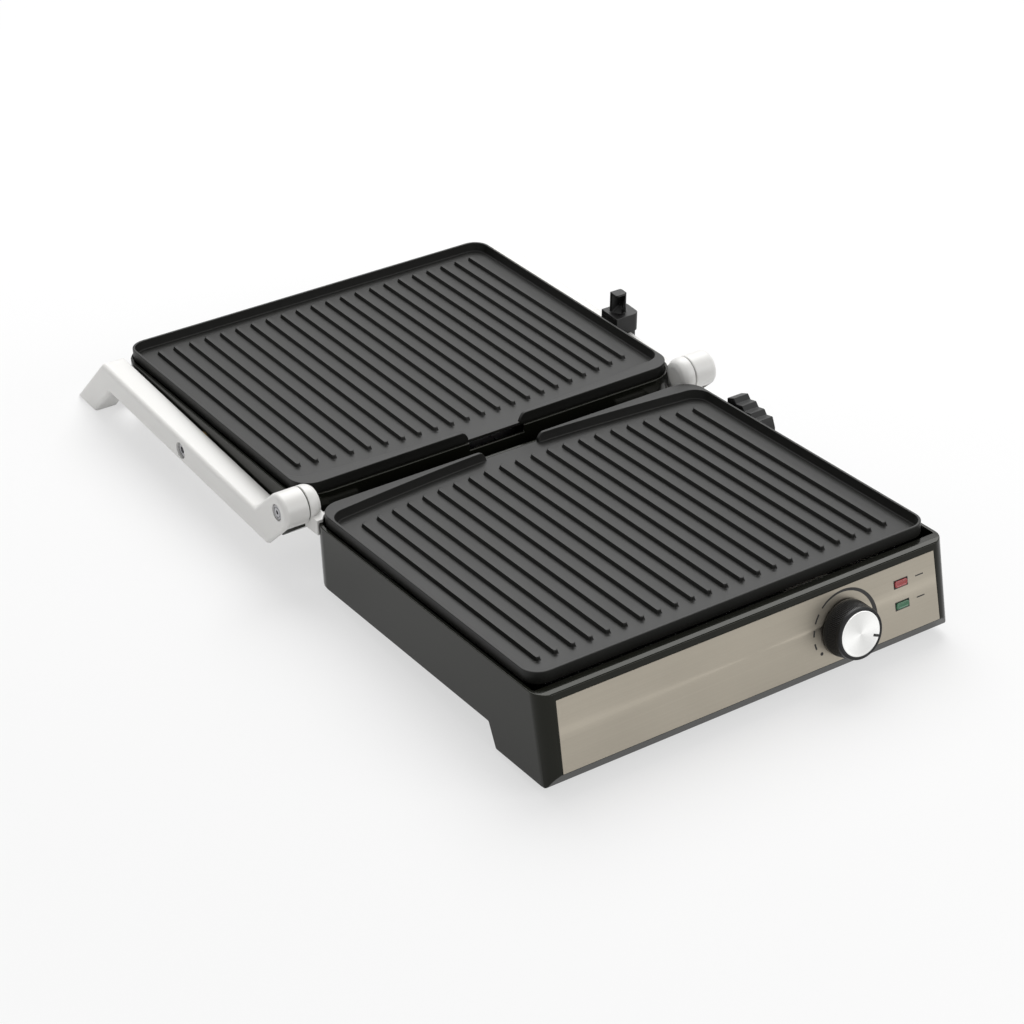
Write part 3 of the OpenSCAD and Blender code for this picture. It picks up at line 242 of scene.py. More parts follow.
def make_finish(name, colour, grain, rough, bump, spread=0.12, stretch=(1, 1, 1), cloud=18,
                kind="NOISE", **sockets):
    """Shader whose colour, roughness and bump follow two noises on Object coordinates.
    grain is the fine noise per metre, rough a (low, high) pair, bump (strength, depth in mm)."""
    mat = bpy.data.materials.new(name)
    mat.use_nodes = True
    tree = mat.node_tree
    link = tree.links.new
    shader = tree.nodes["Principled BSDF"]
    coords = tree.nodes.new("ShaderNodeTexCoord")
    mapping = tree.nodes.new("ShaderNodeMapping")
    mapping.inputs["Scale"].default_value = stretch
    link(coords.outputs["Object"], mapping.inputs["Vector"])
    if kind == "VORONOI":
        fine = tree.nodes.new("ShaderNodeTexVoronoi")
        fine_out = fine.outputs["Distance"]
    else:
        fine = tree.nodes.new("ShaderNodeTexNoise")
        fine.inputs["Detail"].default_value = 4
        fine_out = fine.outputs["Fac"]
    fine.inputs["Scale"].default_value = grain
    link(mapping.outputs["Vector"], fine.inputs["Vector"])
    slow = tree.nodes.new("ShaderNodeTexNoise")
    slow.inputs["Scale"].default_value = cloud
    slow.inputs["Detail"].default_value = 3
    link(coords.outputs["Object"], slow.inputs["Vector"])
    both = tree.nodes.new("ShaderNodeMath")
    both.operation = "MULTIPLY_ADD"
    both.inputs[1].default_value = 0.45
    link(fine_out, both.inputs[0])
    half = tree.nodes.new("ShaderNodeMath")
    half.operation = "MULTIPLY"
    half.inputs[1].default_value = 0.55
    link(slow.outputs["Fac"], half.inputs[0])
    link(half.outputs[0], both.inputs[2])
    ramp = tree.nodes.new("ShaderNodeValToRGB")
    base = np.array(colour[:3])
    ramp.color_ramp.elements[0].position, ramp.color_ramp.elements[1].position = 0.3, 0.7
    ramp.color_ramp.elements[0].color = (*np.clip(base * (1 - spread), 0, 1), 1)
    ramp.color_ramp.elements[1].color = (*np.clip(base * (1 + spread), 0, 1), 1)
    link(both.outputs[0], ramp.inputs["Fac"])
    link(ramp.outputs["Color"], shader.inputs["Base Color"])
    spread_rough = tree.nodes.new("ShaderNodeMapRange")
    spread_rough.inputs["To Min"].default_value, spread_rough.inputs["To Max"].default_value = rough
    link(both.outputs[0], spread_rough.inputs["Value"])
    link(spread_rough.outputs["Result"], shader.inputs["Roughness"])
    relief = tree.nodes.new("ShaderNodeBump")
    relief.inputs["Strength"].default_value = bump[0]
    relief.inputs["Distance"].default_value = bump[1] / 1000
    link(fine_out, relief.inputs["Height"])
    link(relief.outputs["Normal"], shader.inputs["Normal"])
    for socket, value in sockets.items():
        shader.inputs[socket.replace("_", " ")].default_value = value
    mat.diffuse_color = colour
    materials[name] = mat
    return mat


# %% [markdown]
# The finishes, one for each slot of the record. The plates have a charcoal non-stick coat over
# cast aluminium: almost black, with a dense grain that spreads every reflection into a soft grey.
# The housing is moulded in glossy black with a hint of olive. The panel and the lid's cover are
# brushed, so their noise is drawn out along X. The arms have silver-white lacquer with a fine
# flake, and small black parts have the eroded grain of an unpolished mould.

# %% Finishes of the plates, the housing and the arms
make_finish("plate_aluminium", linear(22, 22, 20), 1500, (0.36, 0.5), (0.25, 0.05), 0.2, cloud=30,
            Specular_IOR_Level=0.26)
make_finish("housing_plastic", linear(17, 18, 13), 700, (0.12, 0.19), (0.03, 0.02), 0.15,
            Specular_IOR_Level=0.22, Specular_Tint=linear(255, 255, 244))
make_finish("cover_plastic", linear(28, 28, 27), 1300, (0.55, 0.68), (0.3, 0.05), 0.15, kind="VORONOI")
make_finish("fascia_steel", linear(168, 161, 148), 1.0, (0.36, 0.48), (0.10, 0.02), 0.07,
            stretch=(5, 1500, 1500), Metallic=1.0, Anisotropic=0.6)
make_finish("cover_steel", linear(190, 188, 184), 1.0, (0.28, 0.42), (0.12, 0.02), 0.08,
            stretch=(5, 1500, 1500), Metallic=1.0, Anisotropic=0.6)
make_finish("arm_metal", linear(232, 231, 228), 3200, (0.34, 0.44), (0.05, 0.02), 0.03,
            Coat_Weight=0.2, Coat_Roughness=0.2)
make_finish("black_plastic", linear(18, 18, 18), 1500, (0.4, 0.52), (0.35, 0.05), 0.2, kind="VORONOI",
            Specular_IOR_Level=0.35)
make_finish("grip_plastic", linear(24, 24, 24), 1300, (0.5, 0.62), (0.3, 0.05), 0.2, kind="VORONOI")
print("finishes so far:", len(materials))

# %% Finishes of the knob, the lamps and the small parts
make_finish("knob_plastic", linear(18, 18, 19), 1600, (0.3, 0.4), (0.15, 0.03), 0.2, kind="VORONOI",
            Specular_IOR_Level=0.3)
make_finish("cap_metal", linear(250, 250, 248), 2200, (0.2, 0.3), (0.04, 0.01), 0.04,
            Metallic=1.0, Anisotropic=0.75)
make_finish("red_lens", linear(150, 24, 24), 900, (0.1, 0.18), (0.1, 0.05), 0.2,
            Coat_Weight=0.6, Coat_Roughness=0.05)
make_finish("green_lens", linear(10, 92, 54), 900, (0.1, 0.18), (0.1, 0.05), 0.2,
            Coat_Weight=0.6, Coat_Roughness=0.05)
make_finish("screw_steel", linear(168, 168, 170), 1800, (0.28, 0.4), (0.1, 0.02), 0.1, Metallic=1.0)
make_finish("element_steel", linear(96, 90, 84), 420, (0.42, 0.6), (0.2, 0.04), 0.25, Metallic=0.85)
make_finish("reflector_steel", linear(208, 208, 210), 260, (0.22, 0.34), (0.12, 0.05), 0.06,
            Metallic=1.0)
make_finish("thermostat_ceramic", linear(226, 220, 204), 1100, (0.35, 0.5), (0.15, 0.04), 0.06)
make_finish("inner_plastic", linear(222, 214, 194), 1300, (0.45, 0.6), (0.15, 0.04), 0.06)
make_finish("black_rubber", linear(24, 24, 24), 900, (0.72, 0.86), (0.4, 0.08), 0.2)
make_finish("washer_plastic", linear(46, 46, 46), 1200, (0.5, 0.6), (0.15, 0.04), 0.15)
make_finish("bush_brass", linear(202, 170, 104), 1500, (0.28, 0.4), (0.1, 0.02), 0.1, Metallic=1.0)
make_finish("tray_steel", linear(186, 186, 186), 1.0, (0.26, 0.38), (0.1, 0.02), 0.08,
            stretch=(5, 1200, 1200), Metallic=1.0)
make_finish("panel_print", linear(30, 29, 28), 2600, (0.5, 0.6), (0.1, 0.01), 0.15)
missing = set(slot_of_node.values()) - set(materials)
print("finishes:", len(materials), "slots without one:", sorted(missing))


# %% [markdown]
# Each solid gets the finish of its slot. Pieces that are made anew get theirs the same way, from
# the slot that they take over.

# %% Give every node its finish
def paint(piece, finish):
    """Give a piece one finish in place of whatever it had."""
    piece.data.materials.clear()
    piece.data.materials.append(materials[finish])
    return piece


for node_name, thing in nodes.items():
    paint(thing, slot_of_node[node_name])
print("painted", len(nodes), "nodes")

# %% [markdown]
# The grill plates are the heart of the object. A plate is a casting: a rim with a rounded lip and
# walls that slope inwards so that it leaves its mould, a floor, and ribs with soft shoulders. The
# rim is a profile carried along the outline. It is thin at the sides and in front, swells to a
# broad flat band in the hinge-side corners, and stops at the gap where fat runs out. The same
# number of points is used for the outer and the inner outline, so that rows between them are easy.

# %% Outlines of a plate
HALF_W, PLATE_L, BACK_R, FRONT_R = 143.5, 239.8, 15.0, 12.0
RIM_TOP, FLOOR_Z, SKIRT_Z, UNDER_Z = 5.0, -1.25, -3.2, -4.65
SPOUT_HALF, BAND, BAND_AT_SPOUT, LIP = 20.0, 10.9, 1.8, 1.3


def arc(cx, cy, r, a0, a1, n):
    """Points c + r (cos a, sin a) for n angles from a0 to a1 degrees."""
    a = np.radians(np.linspace(a0, a1, n))
    return np.stack([cx + r * np.cos(a), cy + r * np.sin(a)], -1)


def line(p, q, n, power=1):
    """Points from p to q; a power over 1 crowds them near p."""
    t = np.linspace(0, 1, n)[:, None] ** power
    return np.array(p, float) * (1 - t) + np.array(q, float) * t


def both_halves(half):
    """Right half from the spout to the middle of the front, then its mirror back to the spout."""
    return np.concatenate([half, half[::-1][1:] * [-1, 1]])


def outer_outline(inset):
    """Rounded rectangle, moved inwards by inset."""
    x, r0, r1 = HALF_W - inset, max(BACK_R - inset, 1), max(FRONT_R - inset, 1)
    return both_halves(np.concatenate([
        line((SPOUT_HALF, inset), (HALF_W - BACK_R, inset), 24, 1.6)[:-1],
        arc(x - r0, inset + r0, r0, -90, 0, 12)[:-1],
        line((x, BACK_R), (x, PLATE_L - FRONT_R), 30)[:-1],
        arc(x - r1, PLATE_L - inset - r1, r1, 0, 90, 10)[:-1],
        line((HALF_W - FRONT_R, PLATE_L - inset), (0, PLATE_L - inset), 20)]))


def inner_outline(inset):
    """Edge of the pocket: the band's width grows with the 1.35th power of the way to the corner."""
    x, r0, r1 = HALF_W - LIP - inset, BACK_R - 3 - 0.5 * inset, FRONT_R - LIP - 0.6 * inset
    along = np.linspace(0, 1, 24)[:-1] ** 1.6
    bx = SPOUT_HALF + along * (x - r0 - SPOUT_HALF)
    back = np.stack([bx, BAND_AT_SPOUT + inset + (BAND - BAND_AT_SPOUT) * along ** 1.35], -1)
    y0 = BAND + inset
    return both_halves(np.concatenate([
        back,
        arc(x - r0, y0 + r0, r0, -90, 0, 12)[:-1],
        line((x, y0 + r0), (x, PLATE_L - FRONT_R), 30)[:-1],
        arc(x - r1, PLATE_L - LIP - inset - r1, r1, 0, 90, 10)[:-1],
        line((x - r1, PLATE_L - LIP - inset), (0, PLATE_L - LIP - inset), 20)]))


print("outline points:", len(outer_outline(0)), len(inner_outline(0)))

# %% Rim: a closed profile carried along the outline, with its two ends closed at the spout
def rim_shell():
    """Rows run up the skirt, round the lip, down the sloped wall and back under the floor.
    Beside the spout the height over the floor follows a quarter circle, so the ends are round."""
    lip_r, rows, end_l = 0.45, [], 5.0
    def row(outline, inset, z):
        rows.append(np.column_stack([outline(inset), np.full(len(outline(inset)), z)]))
    row(outer_outline, 0.4, SKIRT_Z)
    row(outer_outline, 0, SKIRT_Z + 0.4)
    row(outer_outline, 0, RIM_TOP - lip_r)
    for a in (30, 60, 90):
        c, s = math.cos(math.radians(a)), math.sin(math.radians(a))
        row(outer_outline, lip_r * (1 - c), RIM_TOP - lip_r * (1 - s))
    for a in (0, 35, 70):
        c, s = math.cos(math.radians(a)), math.sin(math.radians(a))
        row(inner_outline, 0.4 * s, RIM_TOP - 0.4 * (1 - c))
    row(inner_outline, 1.0, FLOOR_Z + 0.5)
    row(inner_outline, 1.25, FLOOR_Z + 0.12)
    row(inner_outline, 1.7, FLOOR_Z - 0.15)
    row(outer_outline, 5.5, SKIRT_Z)
    rows = np.array(rows)
    away = np.clip((np.abs(rows[..., 0]) - SPOUT_HALF) / end_l, 0.02, 1)
    away = np.where(rows[..., 1] < PLATE_L / 2, away, 1)
    over_floor = np.maximum(rows[..., 2] - FLOOR_Z, 0)
    rows[..., 2] -= over_floor * (1 - np.sqrt(1 - (1 - away) ** 2))
    count, along = rows.shape[:2]
    faces = grid_faces(count, along, wrap_rows=True)
    faces.append([r * along for r in range(count)])
    faces.append([r * along + along - 1 for r in range(count)])
    return rows.reshape(-1, 3), faces


print("rim points:", len(rim_shell()[0]))

# %% [markdown]
# The floor and its ribs are one height field. Columns crowd round each rib, rows crowd round the
# ribs' ends, and the rows bow with the ribs' starts, so few points draw crisp shoulders. The
# height of a point is the rib's height times a smooth step of its distance to the rib's middle
# line, which also rounds the ends.

# %% Floor and ribs
RIBS, PITCH, RIB_H, RIB_R = 22, 12.0, 2.5, 1.75
RIB_START, RIB_BOW, RIB_STOP = 15.7, 11.5, 19.4
RIB_FOOT, RIB_CREST = 1.98, 1.2


def floor_shell(shift):
    """Height field over the plate, closed below by a ring and a flat face."""
    centres = (np.arange(RIBS) - (RIBS - 1) / 2) * PITCH
    near = np.array([-4, -2.2, -1.95, -1.7, -1.45, -1.2, -0.6, 0, 0.6, 1.2, 1.45, 1.7, 1.95, 2.2, 4])
    side = np.array([130.5, 133, 136, 139, 141.5, 143.2])
    xs = np.concatenate([-side[::-1], (centres[:, None] + near).ravel(), side])
    ends = np.array([-1.4, -0.25, 0.05, 0.3, 0.55, 0.85, 1.2, 1.75, 2.6])
    u = np.clip(xs / (centres[-1]), -1.08, 1.08)
    start = RIB_START + shift + RIB_BOW * u * u
    stop = PLATE_L - RIB_STOP + shift
    first = 0.3
    low = first + (start[None] - 1.4 - first) * np.linspace(0, 1, 9)[:-1, None] ** 1.2
    middle = start[None] + 2.6 + (stop - 5.2 - start[None]) * np.linspace(0, 1, 10)[1:-1, None]
    high = stop + 1.4 + (PLATE_L - first - stop - 1.4) * np.linspace(0, 1, 8)[1:, None] ** 0.8
    y = np.concatenate([low, start[None] + ends[:, None], middle,
                        np.broadcast_to(stop - ends[::-1][:, None], (len(ends), len(xs))),
                        np.broadcast_to(high, (len(high), len(xs)))])
    x = np.broadcast_to(xs, y.shape).copy()
    gap = np.where(y < BACK_R, BACK_R - y, np.where(y > PLATE_L - FRONT_R, y - PLATE_L + FRONT_R, 0))
    radius = np.where(y < PLATE_L / 2, BACK_R, FRONT_R)
    limit = HALF_W - radius + np.sqrt(np.clip(radius ** 2 - gap ** 2, 0, None)) - 0.3
    squeeze = np.abs(x) > 130
    share = (np.abs(x) - 128) / (143.2 - 128)
    x = np.where(squeeze, np.sign(x) * (128 + share * (np.maximum(limit, 128.4) - 128)), x)
    rib = np.abs(x[..., None] - centres).argmin(-1)
    rib_start = RIB_START + shift + RIB_BOW * (centres[rib] / centres[-1]) ** 2
    dy = np.maximum(np.maximum(rib_start + RIB_R - y, y - (stop - RIB_R)), 0)
    distance = np.hypot(x - centres[rib], dy)
    s = np.clip((RIB_FOOT - distance) / (RIB_FOOT - RIB_CREST), 0, 1)
    z = FLOOR_Z + RIB_H * s * s * (3 - 2 * s)
    rows, columns = y.shape
    top = np.stack([x, y, z], -1).reshape(-1, 3)
    index = np.arange(rows * columns).reshape(rows, columns)
    ring = np.concatenate([index[0, :-1], index[:-1, -1], index[-1, :0:-1], index[:0:-1, 0]])
    skirt = top[ring] * [1, 1, 0] + [0, 0, SKIRT_Z + 0.1]
    middle_of = np.array([0, PLATE_L / 2, 0])
    under = (top[ring] * [1, 1, 0] - middle_of) * [0.958, 0.95, 0] + middle_of + [0, 0, UNDER_Z]
    n, base = len(ring), len(top)
    k, k1 = np.arange(n), (np.arange(n) + 1) % n
    walls = np.stack([ring[k], ring[k1], base + k1, base + k], 1).tolist()
    walls += np.stack([base + k, base + k1, base + n + k1, base + n + k], 1).tolist()
    faces = grid_faces(rows, columns) + walls + [[int(i) for i in base + n + k]]
    return np.concatenate([top, skirt, under]), faces


BOSS_X, BOSS_R, BOSS_END = 118, 4.5, -13
BOSSES = [(x, PLATE_L * share) for x in (-BOSS_X, BOSS_X) for share in (0.25, 0.75)]


def boss_shells():
    """Bosses under the floor that the fixing screws enter: small turned stubs."""
    stub = lathe([(BOSS_R, BOSS_END), (BOSS_R, UNDER_Z + 1)], 24)
    return [(stub[0] + [x, y, 0], stub[1]) for x, y in BOSSES]


def grill_plate(name, node, place, shift):
    """One plate: floor with ribs, rim and bosses; shift moves the ribs along the plate."""
    points, faces = joined(floor_shell(shift), rim_shell(), *boss_shells())
    return paint(add_piece(name, place(points), faces, body_of_node[node], node), "plate_aluminium")


lower = grill_plate("lower_plate_casting", "lower_plate", base_frame, 0)
upper = grill_plate("upper_plate_casting", "upper_plate", lid_frame, 5.6)
print("plates:", len(lower.data.polygons), len(upper.data.polygons), "faces")

# %% [markdown]
# Smooth shading would blur the plate's crisp edges, so edges sharper than a set angle are marked
# sharp. The ribs' shoulders stay under that angle and keep their soft look.

# %% Mark sharp edges
def crisp(piece, degrees):
    """Mark the edges whose faces turn by more than the given angle."""
    bm = bmesh.new()
    bm.from_mesh(piece.data)
    for edge in bm.edges:
        edge.smooth = len(edge.link_faces) == 2 and edge.calc_face_angle(0) < math.radians(degrees)
    bm.to_mesh(piece.data)
    bm.free()
    return piece


weighted(crisp(lower, 62))
weighted(crisp(upper, 62))
print("sharp edges marked")

# %% [markdown]
# The housing, brackets and black parts have the right form in the solids. Their copies get
# edge radii, wider on the feet and narrow on the panel, the rack and the clip.

# %% Soften the solids that are seen
EDGE_MM = {
    "base_shell": 0.5, "lid_shell": 0.5, "control_fascia": 0.25,
    "left_hinge_bracket": 0.6, "right_hinge_bracket": 0.6, "height_step_rack": 0.5, "height_clip": 0.5,
    "lid_cover": 0.5, "drip_tray": 0.2, "handle_grip": 1.2, "front_feet": 1.0, "rear_feet": 1.0,
    "cord_gland": 0.6,
}
for node_name, width in EDGE_MM.items():
    paint(softened(node_name, width), slot_of_node[node_name])
print("softened", len(EDGE_MM), "solids")

# %% [markdown]
# An arm is one casting: a barrel round the hinge pin, a neck, a straight band and a slanted leg that
# ends flat on the table. Its side outline is drawn with an arc in each corner. Copies of the outline,
# moved inwards step by step, give the outer edge a soft radius and the inner edge a small one. The
# outer face has two round recesses, so it is filled as a face with holes.

# %% Outline and body of an arm
ARM_LENGTH, BAND_TOP, BAND_UNDER, BARREL_R = 243.4, -14.15, -32.35, 12.0
LEG_SLOPE, LEG_ACROSS, PIVOT_Y, PIVOT_Z = 46.4, 19.3, 129.2, -23.25
EDGE_OUT, EDGE_IN = 2.8, 0.9
NECK_WALL, NECK_FOOT = 3.0, 28.1
END_RECESS, PIVOT_RECESS = (5.5, 3.8), (5.7, 4.4)


def rounded(points, radii, steps=7):
    """Replace each corner of an outline by an arc of the given radius."""
    points, out = np.asarray(points, float), []
    for p, a, b, r in zip(points, np.roll(points, 1, 0), np.roll(points, -1, 0), radii):
        u, v = (a - p) / np.linalg.norm(a - p), (b - p) / np.linalg.norm(b - p)
        half = math.acos(float(u @ v)) / 2
        if r == 0:
            out.append(p)
            continue
        centre = p + (u + v) / np.linalg.norm(u + v) * r / math.sin(half)
        first, last = p + u * r / math.tan(half) - centre, p + v * r / math.tan(half) - centre
        a0 = math.atan2(first[1], first[0])
        sweep = (math.atan2(last[1], last[0]) - a0 + math.pi) % (2 * math.pi) - math.pi
        out += [centre + r * np.array([math.cos(a0 + sweep * t), math.sin(a0 + sweep * t)])
                for t in np.linspace(0, 1, steps)]
    return np.array(out)


def moved_in(outline, inset):
    """Move an outline inwards: each point goes along the mean normal of its two edges."""
    ahead = np.roll(outline, -1, 0) - outline
    normal = np.column_stack([-ahead[:, 1], ahead[:, 0]]) / np.linalg.norm(ahead, axis=1)[:, None]
    before = np.roll(normal, 1, 0)
    return outline + (normal + before) * inset / (1 + (normal * before).sum(1))[:, None]


def arm_outline():
    """Side view, counter-clockwise in (y, z); the leg's end lies on the table."""
    slope, lean = math.radians(LEG_SLOPE), math.radians(ARM_LEAN - BODY_LEAN)
    leg = np.array([math.cos(slope), -math.sin(slope)])
    root = np.array([ARM_LENGTH - LEG_ACROSS / math.sin(slope)
                     + (BAND_TOP - BAND_UNDER) / math.tan(slope), BAND_UNDER])
    crook = np.array([ARM_LENGTH, BAND_TOP])

    def on_table(p):
        height = HINGE_Z + p[0] * math.sin(lean) + p[1] * math.cos(lean)
        return p + leg * height / -(leg[0] * math.sin(lean) + leg[1] * math.cos(lean))

    q = BARREL_R / math.sqrt(2)
    neck = 2 * q
    corners = rounded([(-q, -q), (-BAND_UNDER - neck, BAND_UNDER), root, on_table(root),
                       on_table(crook), crook, (neck - BAND_TOP, BAND_TOP), (q, q)],
                      [0, 3, 1, 0, 0, 4, 8, 0])
    return np.concatenate([corners, arc(0, 0, BARREL_R, 45, 225, 33)[1:-1]])


def arm_shell():
    """Sheets across the arm. The neck is hollow from the inside: up to the outer wall its outline
    keeps to the barrel and then runs straight down to the band's underside."""
    outline = arm_outline()
    hollow = np.concatenate([arc(0, 0, BARREL_R, 225, 300.5, 7), [[NECK_FOOT, BAND_UNDER]],
                             outline[8:]])
    n, quarter = len(outline), np.radians(np.linspace(0, 90, 5))
    rows = [(ARM_IN + EDGE_IN * (1 - math.cos(a)), EDGE_IN * (1 - math.sin(a)), hollow)
            for a in quarter]
    rows += [(ARM_OUT - NECK_WALL, 0, hollow), (ARM_OUT - NECK_WALL, 0, outline)]
    rows += [(ARM_OUT - EDGE_OUT * (1 - math.cos(a)), EDGE_OUT * (1 - math.sin(a)), outline)
             for a in quarter[::-1]]
    sheets = [np.column_stack([np.full(n, x), moved_in(side, inset)]) for x, inset, side in rows]
    faces = grid_faces(len(rows), n, wrap_columns=True) + [list(range(n))]
    count, loops = len(rows) * n, [sheets[-1]]
    owners = [np.arange(n) + count - n]
    for cy, cz, (r, depth) in ((0, 0, END_RECESS), (PIVOT_Y, PIVOT_Z, PIVOT_RECESS)):
        rings = [np.column_stack([np.full(36, ARM_OUT - down), arc(cy, cz, r + wide, 0, 350, 36)])
                 for wide, down in ((0.5, 0), (0.15, 0.12), (0, 0.5), (0, depth))]
        loops.append(rings[0])
        owners.append(np.arange(36) + count)
        faces += grid_faces(len(rings), 36, count, wrap_columns=True)
        faces.append(list(range(count + 36 * 3, count + 36 * 4)))
        sheets += rings
        count += 36 * 4
    owners = np.concatenate(owners)
    flat = [[Vector((y, z, 0)) for _, y, z in loop] for loop in loops]
    faces += [[int(owners[i]) for i in triangle] for triangle in tessellate_polygon(flat)]
    return np.concatenate(sheets), faces


for side, node_name in ((1, "right_arm"), (-1, "left_arm")):
    points, faces = arm_shell()
    piece = add_piece(node_name + "_casting", arm_frame(points * [side, 1, 1]), faces, "arms",
                      node_name)
    merged(piece)
    paint(weighted(crisp(piece, 40)), "arm_metal")
print("arms:", len(faces), "faces each")

# %% [markdown]
# Screws of the hinges and of the lid's pivots. Both are turned parts, so their profiles run round
# the X axis: a shank, a head with a broken edge, a ring groove or a plain face, and a dark socket.

# %% Turned screws
def turned_x(profile, around=48):
    """Lathe shape whose axis is X; the profile is a list of (radius, x)."""
    points, faces = lathe(profile, around)
    return points[:, [2, 0, 1]], faces


end_profile = [(0.3, 150.6), (2.2, 150.6), (2.2, 161.9), (4.8, 161.9), (4.8, 164.4), (4.55, 164.8),
               (4.1, 164.9), (3.85, 164.85), (3.7, 164.3), (3.2, 164.3), (3.05, 164.85), (2.8, 164.9),
               (1.5, 164.9), (1.35, 164.75), (1.3, 162.8), (0.3, 162.8)]
pivot_profile = [(0.3, 139.3), (3.0, 139.3), (3.0, 161.0), (5.2, 161.0), (5.2, 163.4), (5.0, 163.8),
                 (4.5, 164.0), (2.5, 164.0), (2.3, 163.85), (2.2, 161.8), (0.3, 161.8)]
for node_name, profile, y, z in (("hinge_end_screws", end_profile, 0, 0),
                                 ("lid_pivot_screws", pivot_profile, PIVOT_Y, PIVOT_Z)):
    points, faces = turned_x(profile)
    points = points + [0, y, z]
    points, faces = joined((points, faces), (points * [-1, 1, 1], faces))
    piece = add_piece(node_name + "_turned", arm_frame(points), faces, body_of_node[node_name],
                      node_name)
    paint(crisp(piece, 35), slot_of_node[node_name])
print("screws turned")

# %% [markdown]
# The knob is a fluted skirt with a bright turned cap. The skirt is a lathe shape whose radius
# also follows a sharpened cosine of the angle, which cuts the flutes, and fades out before the
# smooth front ring. The cap carries a UV map with the angle across and the radius up, so that its
# stretched highlights run round the middle. Its colour also carries a painted highlight: two bright
# wedges from a sine of the angle, standing in for the lamps' reflections.

# %% Knob skirt
KNOB_X, KNOB_DOWN, POINTER_TURN = 66.0, 25.8, -23
FLUTES, FLUTE_DEPTH, FLUTE_FOOT_Z, FLUTE_TOP_Z = 96, 0.4, 3.0, 12.7


def knob_frame(points):
    """Knob frame: the panel's frame moved to the middle of the knob."""
    return panel_frame(np.asarray(points, float) + [KNOB_X, -KNOB_DOWN, 0])


def flute(angle, z):
    """Radius taken off: full along the skirt, none at its foot and front ring."""
    fade = np.clip(z - FLUTE_FOOT_Z, 0, 1) * np.clip((FLUTE_TOP_Z - z) / 0.8, 0, 1)
    return -FLUTE_DEPTH * fade * (0.5 - 0.5 * np.cos(angle * FLUTES)) ** 1.5


skirt_z = [1.0, 1.0, 1.3, 1.8, 3.0, 4.0, 6.0, 8.0, 10.4, 11.9, 12.7, 13.6, 14.3, 14.6,
           14.7, 14.7, 14.5, 12.9, 12.9]
skirt_r = [3.4, 17.2, 17.7, 17.8, 17.8, 17.67, 17.42, 17.16, 16.85, 16.66, 16.56, 16.44, 16.2, 15.95,
           15.6, 14.7, 14.35, 14.3, 3.4]
points, faces = lathe(list(zip(skirt_r, skirt_z)), FLUTES * 8, flute)
knob = add_piece("knob_skirt", knob_frame(points), faces, "knob", "thermostat_knob")
crisp(paint(knob, "knob_plastic"), 55)
print("knob:", len(knob.data.polygons), "faces")

# %% Knob cap with its turned finish, painted highlight wedges and the pointer mark
cap_profile = [(14.0, 12.95), (14.2, 13.1), (14.2, 14.5), (14.1, 14.75), (13.85, 14.88), (13.4, 14.88),
               (13.2, 14.8), (12, 14.77), (9, 14.74), (6, 14.72), (3, 14.71), (0.6, 14.7)]
points, faces = lathe(cap_profile, 128)
cap = add_piece("knob_cap_disc", knob_frame(points), faces, "knob", "knob_cap")
crisp(cap, 55)
uv = cap.data.uv_layers.new(name="turned")
corner_vertex = np.zeros(len(cap.data.loops), int)
cap.data.loops.foreach_get("vertex_index", corner_vertex)
corner_count = np.array([len(face.vertices) for face in cap.data.polygons])
corner_face = np.repeat(np.arange(len(corner_count)), corner_count)
local = points[corner_vertex][:, :2]
middle = np.stack([np.bincount(corner_face, axis) for axis in local.T], 1) / corner_count[:, None]
share = np.arctan2(local[:, 1], local[:, 0]) / (2 * np.pi)
share += np.round((np.arctan2(middle[:, 1], middle[:, 0]) / (2 * np.pi))[corner_face] - share)
uv.data.foreach_set("uv", np.column_stack([share, np.hypot(*local.T) / 15]).ravel())
cap_tree = materials["cap_metal"].node_tree
tangent = cap_tree.nodes.new("ShaderNodeTangent")
tangent.direction_type = "UV_MAP"
tangent.uv_map = "turned"
cap_tree.links.new(tangent.outputs["Tangent"], cap_tree.nodes["Principled BSDF"].inputs["Tangent"])
# Painted highlight: the cap's base colour is scaled from 0.8 to 1 by a sine of twice the angle round
# the cap, two bright wedges that stand in for reflected lamp light.
turned_uv = cap_tree.nodes.new("ShaderNodeUVMap")
turned_uv.uv_map = "turned"
split = cap_tree.nodes.new("ShaderNodeSeparateXYZ")
cap_tree.links.new(turned_uv.outputs["UV"], split.inputs["Vector"])
swing = cap_tree.nodes.new("ShaderNodeMath")
swing.operation = "MULTIPLY_ADD"
swing.inputs[1].default_value, swing.inputs[2].default_value = 4 * math.pi, 0.9
cap_tree.links.new(split.outputs["X"], swing.inputs[0])
wave = cap_tree.nodes.new("ShaderNodeMath")
wave.operation = "SINE"
cap_tree.links.new(swing.outputs[0], wave.inputs[0])
painted_highlight_level = cap_tree.nodes.new("ShaderNodeMapRange")
painted_highlight_level.inputs["From Min"].default_value, painted_highlight_level.inputs["From Max"].default_value = -1, 1
painted_highlight_level.inputs["To Min"].default_value, painted_highlight_level.inputs["To Max"].default_value = 0.8, 1
cap_tree.links.new(wave.outputs[0], painted_highlight_level.inputs["Value"])
painted_highlight_wedges = cap_tree.nodes.new("ShaderNodeVectorMath")
painted_highlight_wedges.operation = "SCALE"
ramp = next(node for node in cap_tree.nodes if node.type == "VALTORGB")
cap_tree.links.new(ramp.outputs["Color"], painted_highlight_wedges.inputs[0])
cap_tree.links.new(painted_highlight_level.outputs["Result"], painted_highlight_wedges.inputs["Scale"])
cap_tree.links.new(painted_highlight_wedges.outputs[0], cap_tree.nodes["Principled BSDF"].inputs["Base Color"])
paint(cap, "cap_metal")


def bar(x0, x1, y0, y1, z0, z1):
    """A flat bar as six faces, for inlays and printed marks."""
    x, y, z = np.meshgrid([x0, x1], [y0, y1], [z0, z1], indexing="ij")
    return (np.stack([x, y, z], -1).reshape(-1, 3),
            [[0, 1, 3, 2], [4, 6, 7, 5], [0, 4, 5, 1], [2, 3, 7, 6], [0, 2, 6, 4], [1, 5, 7, 3]])


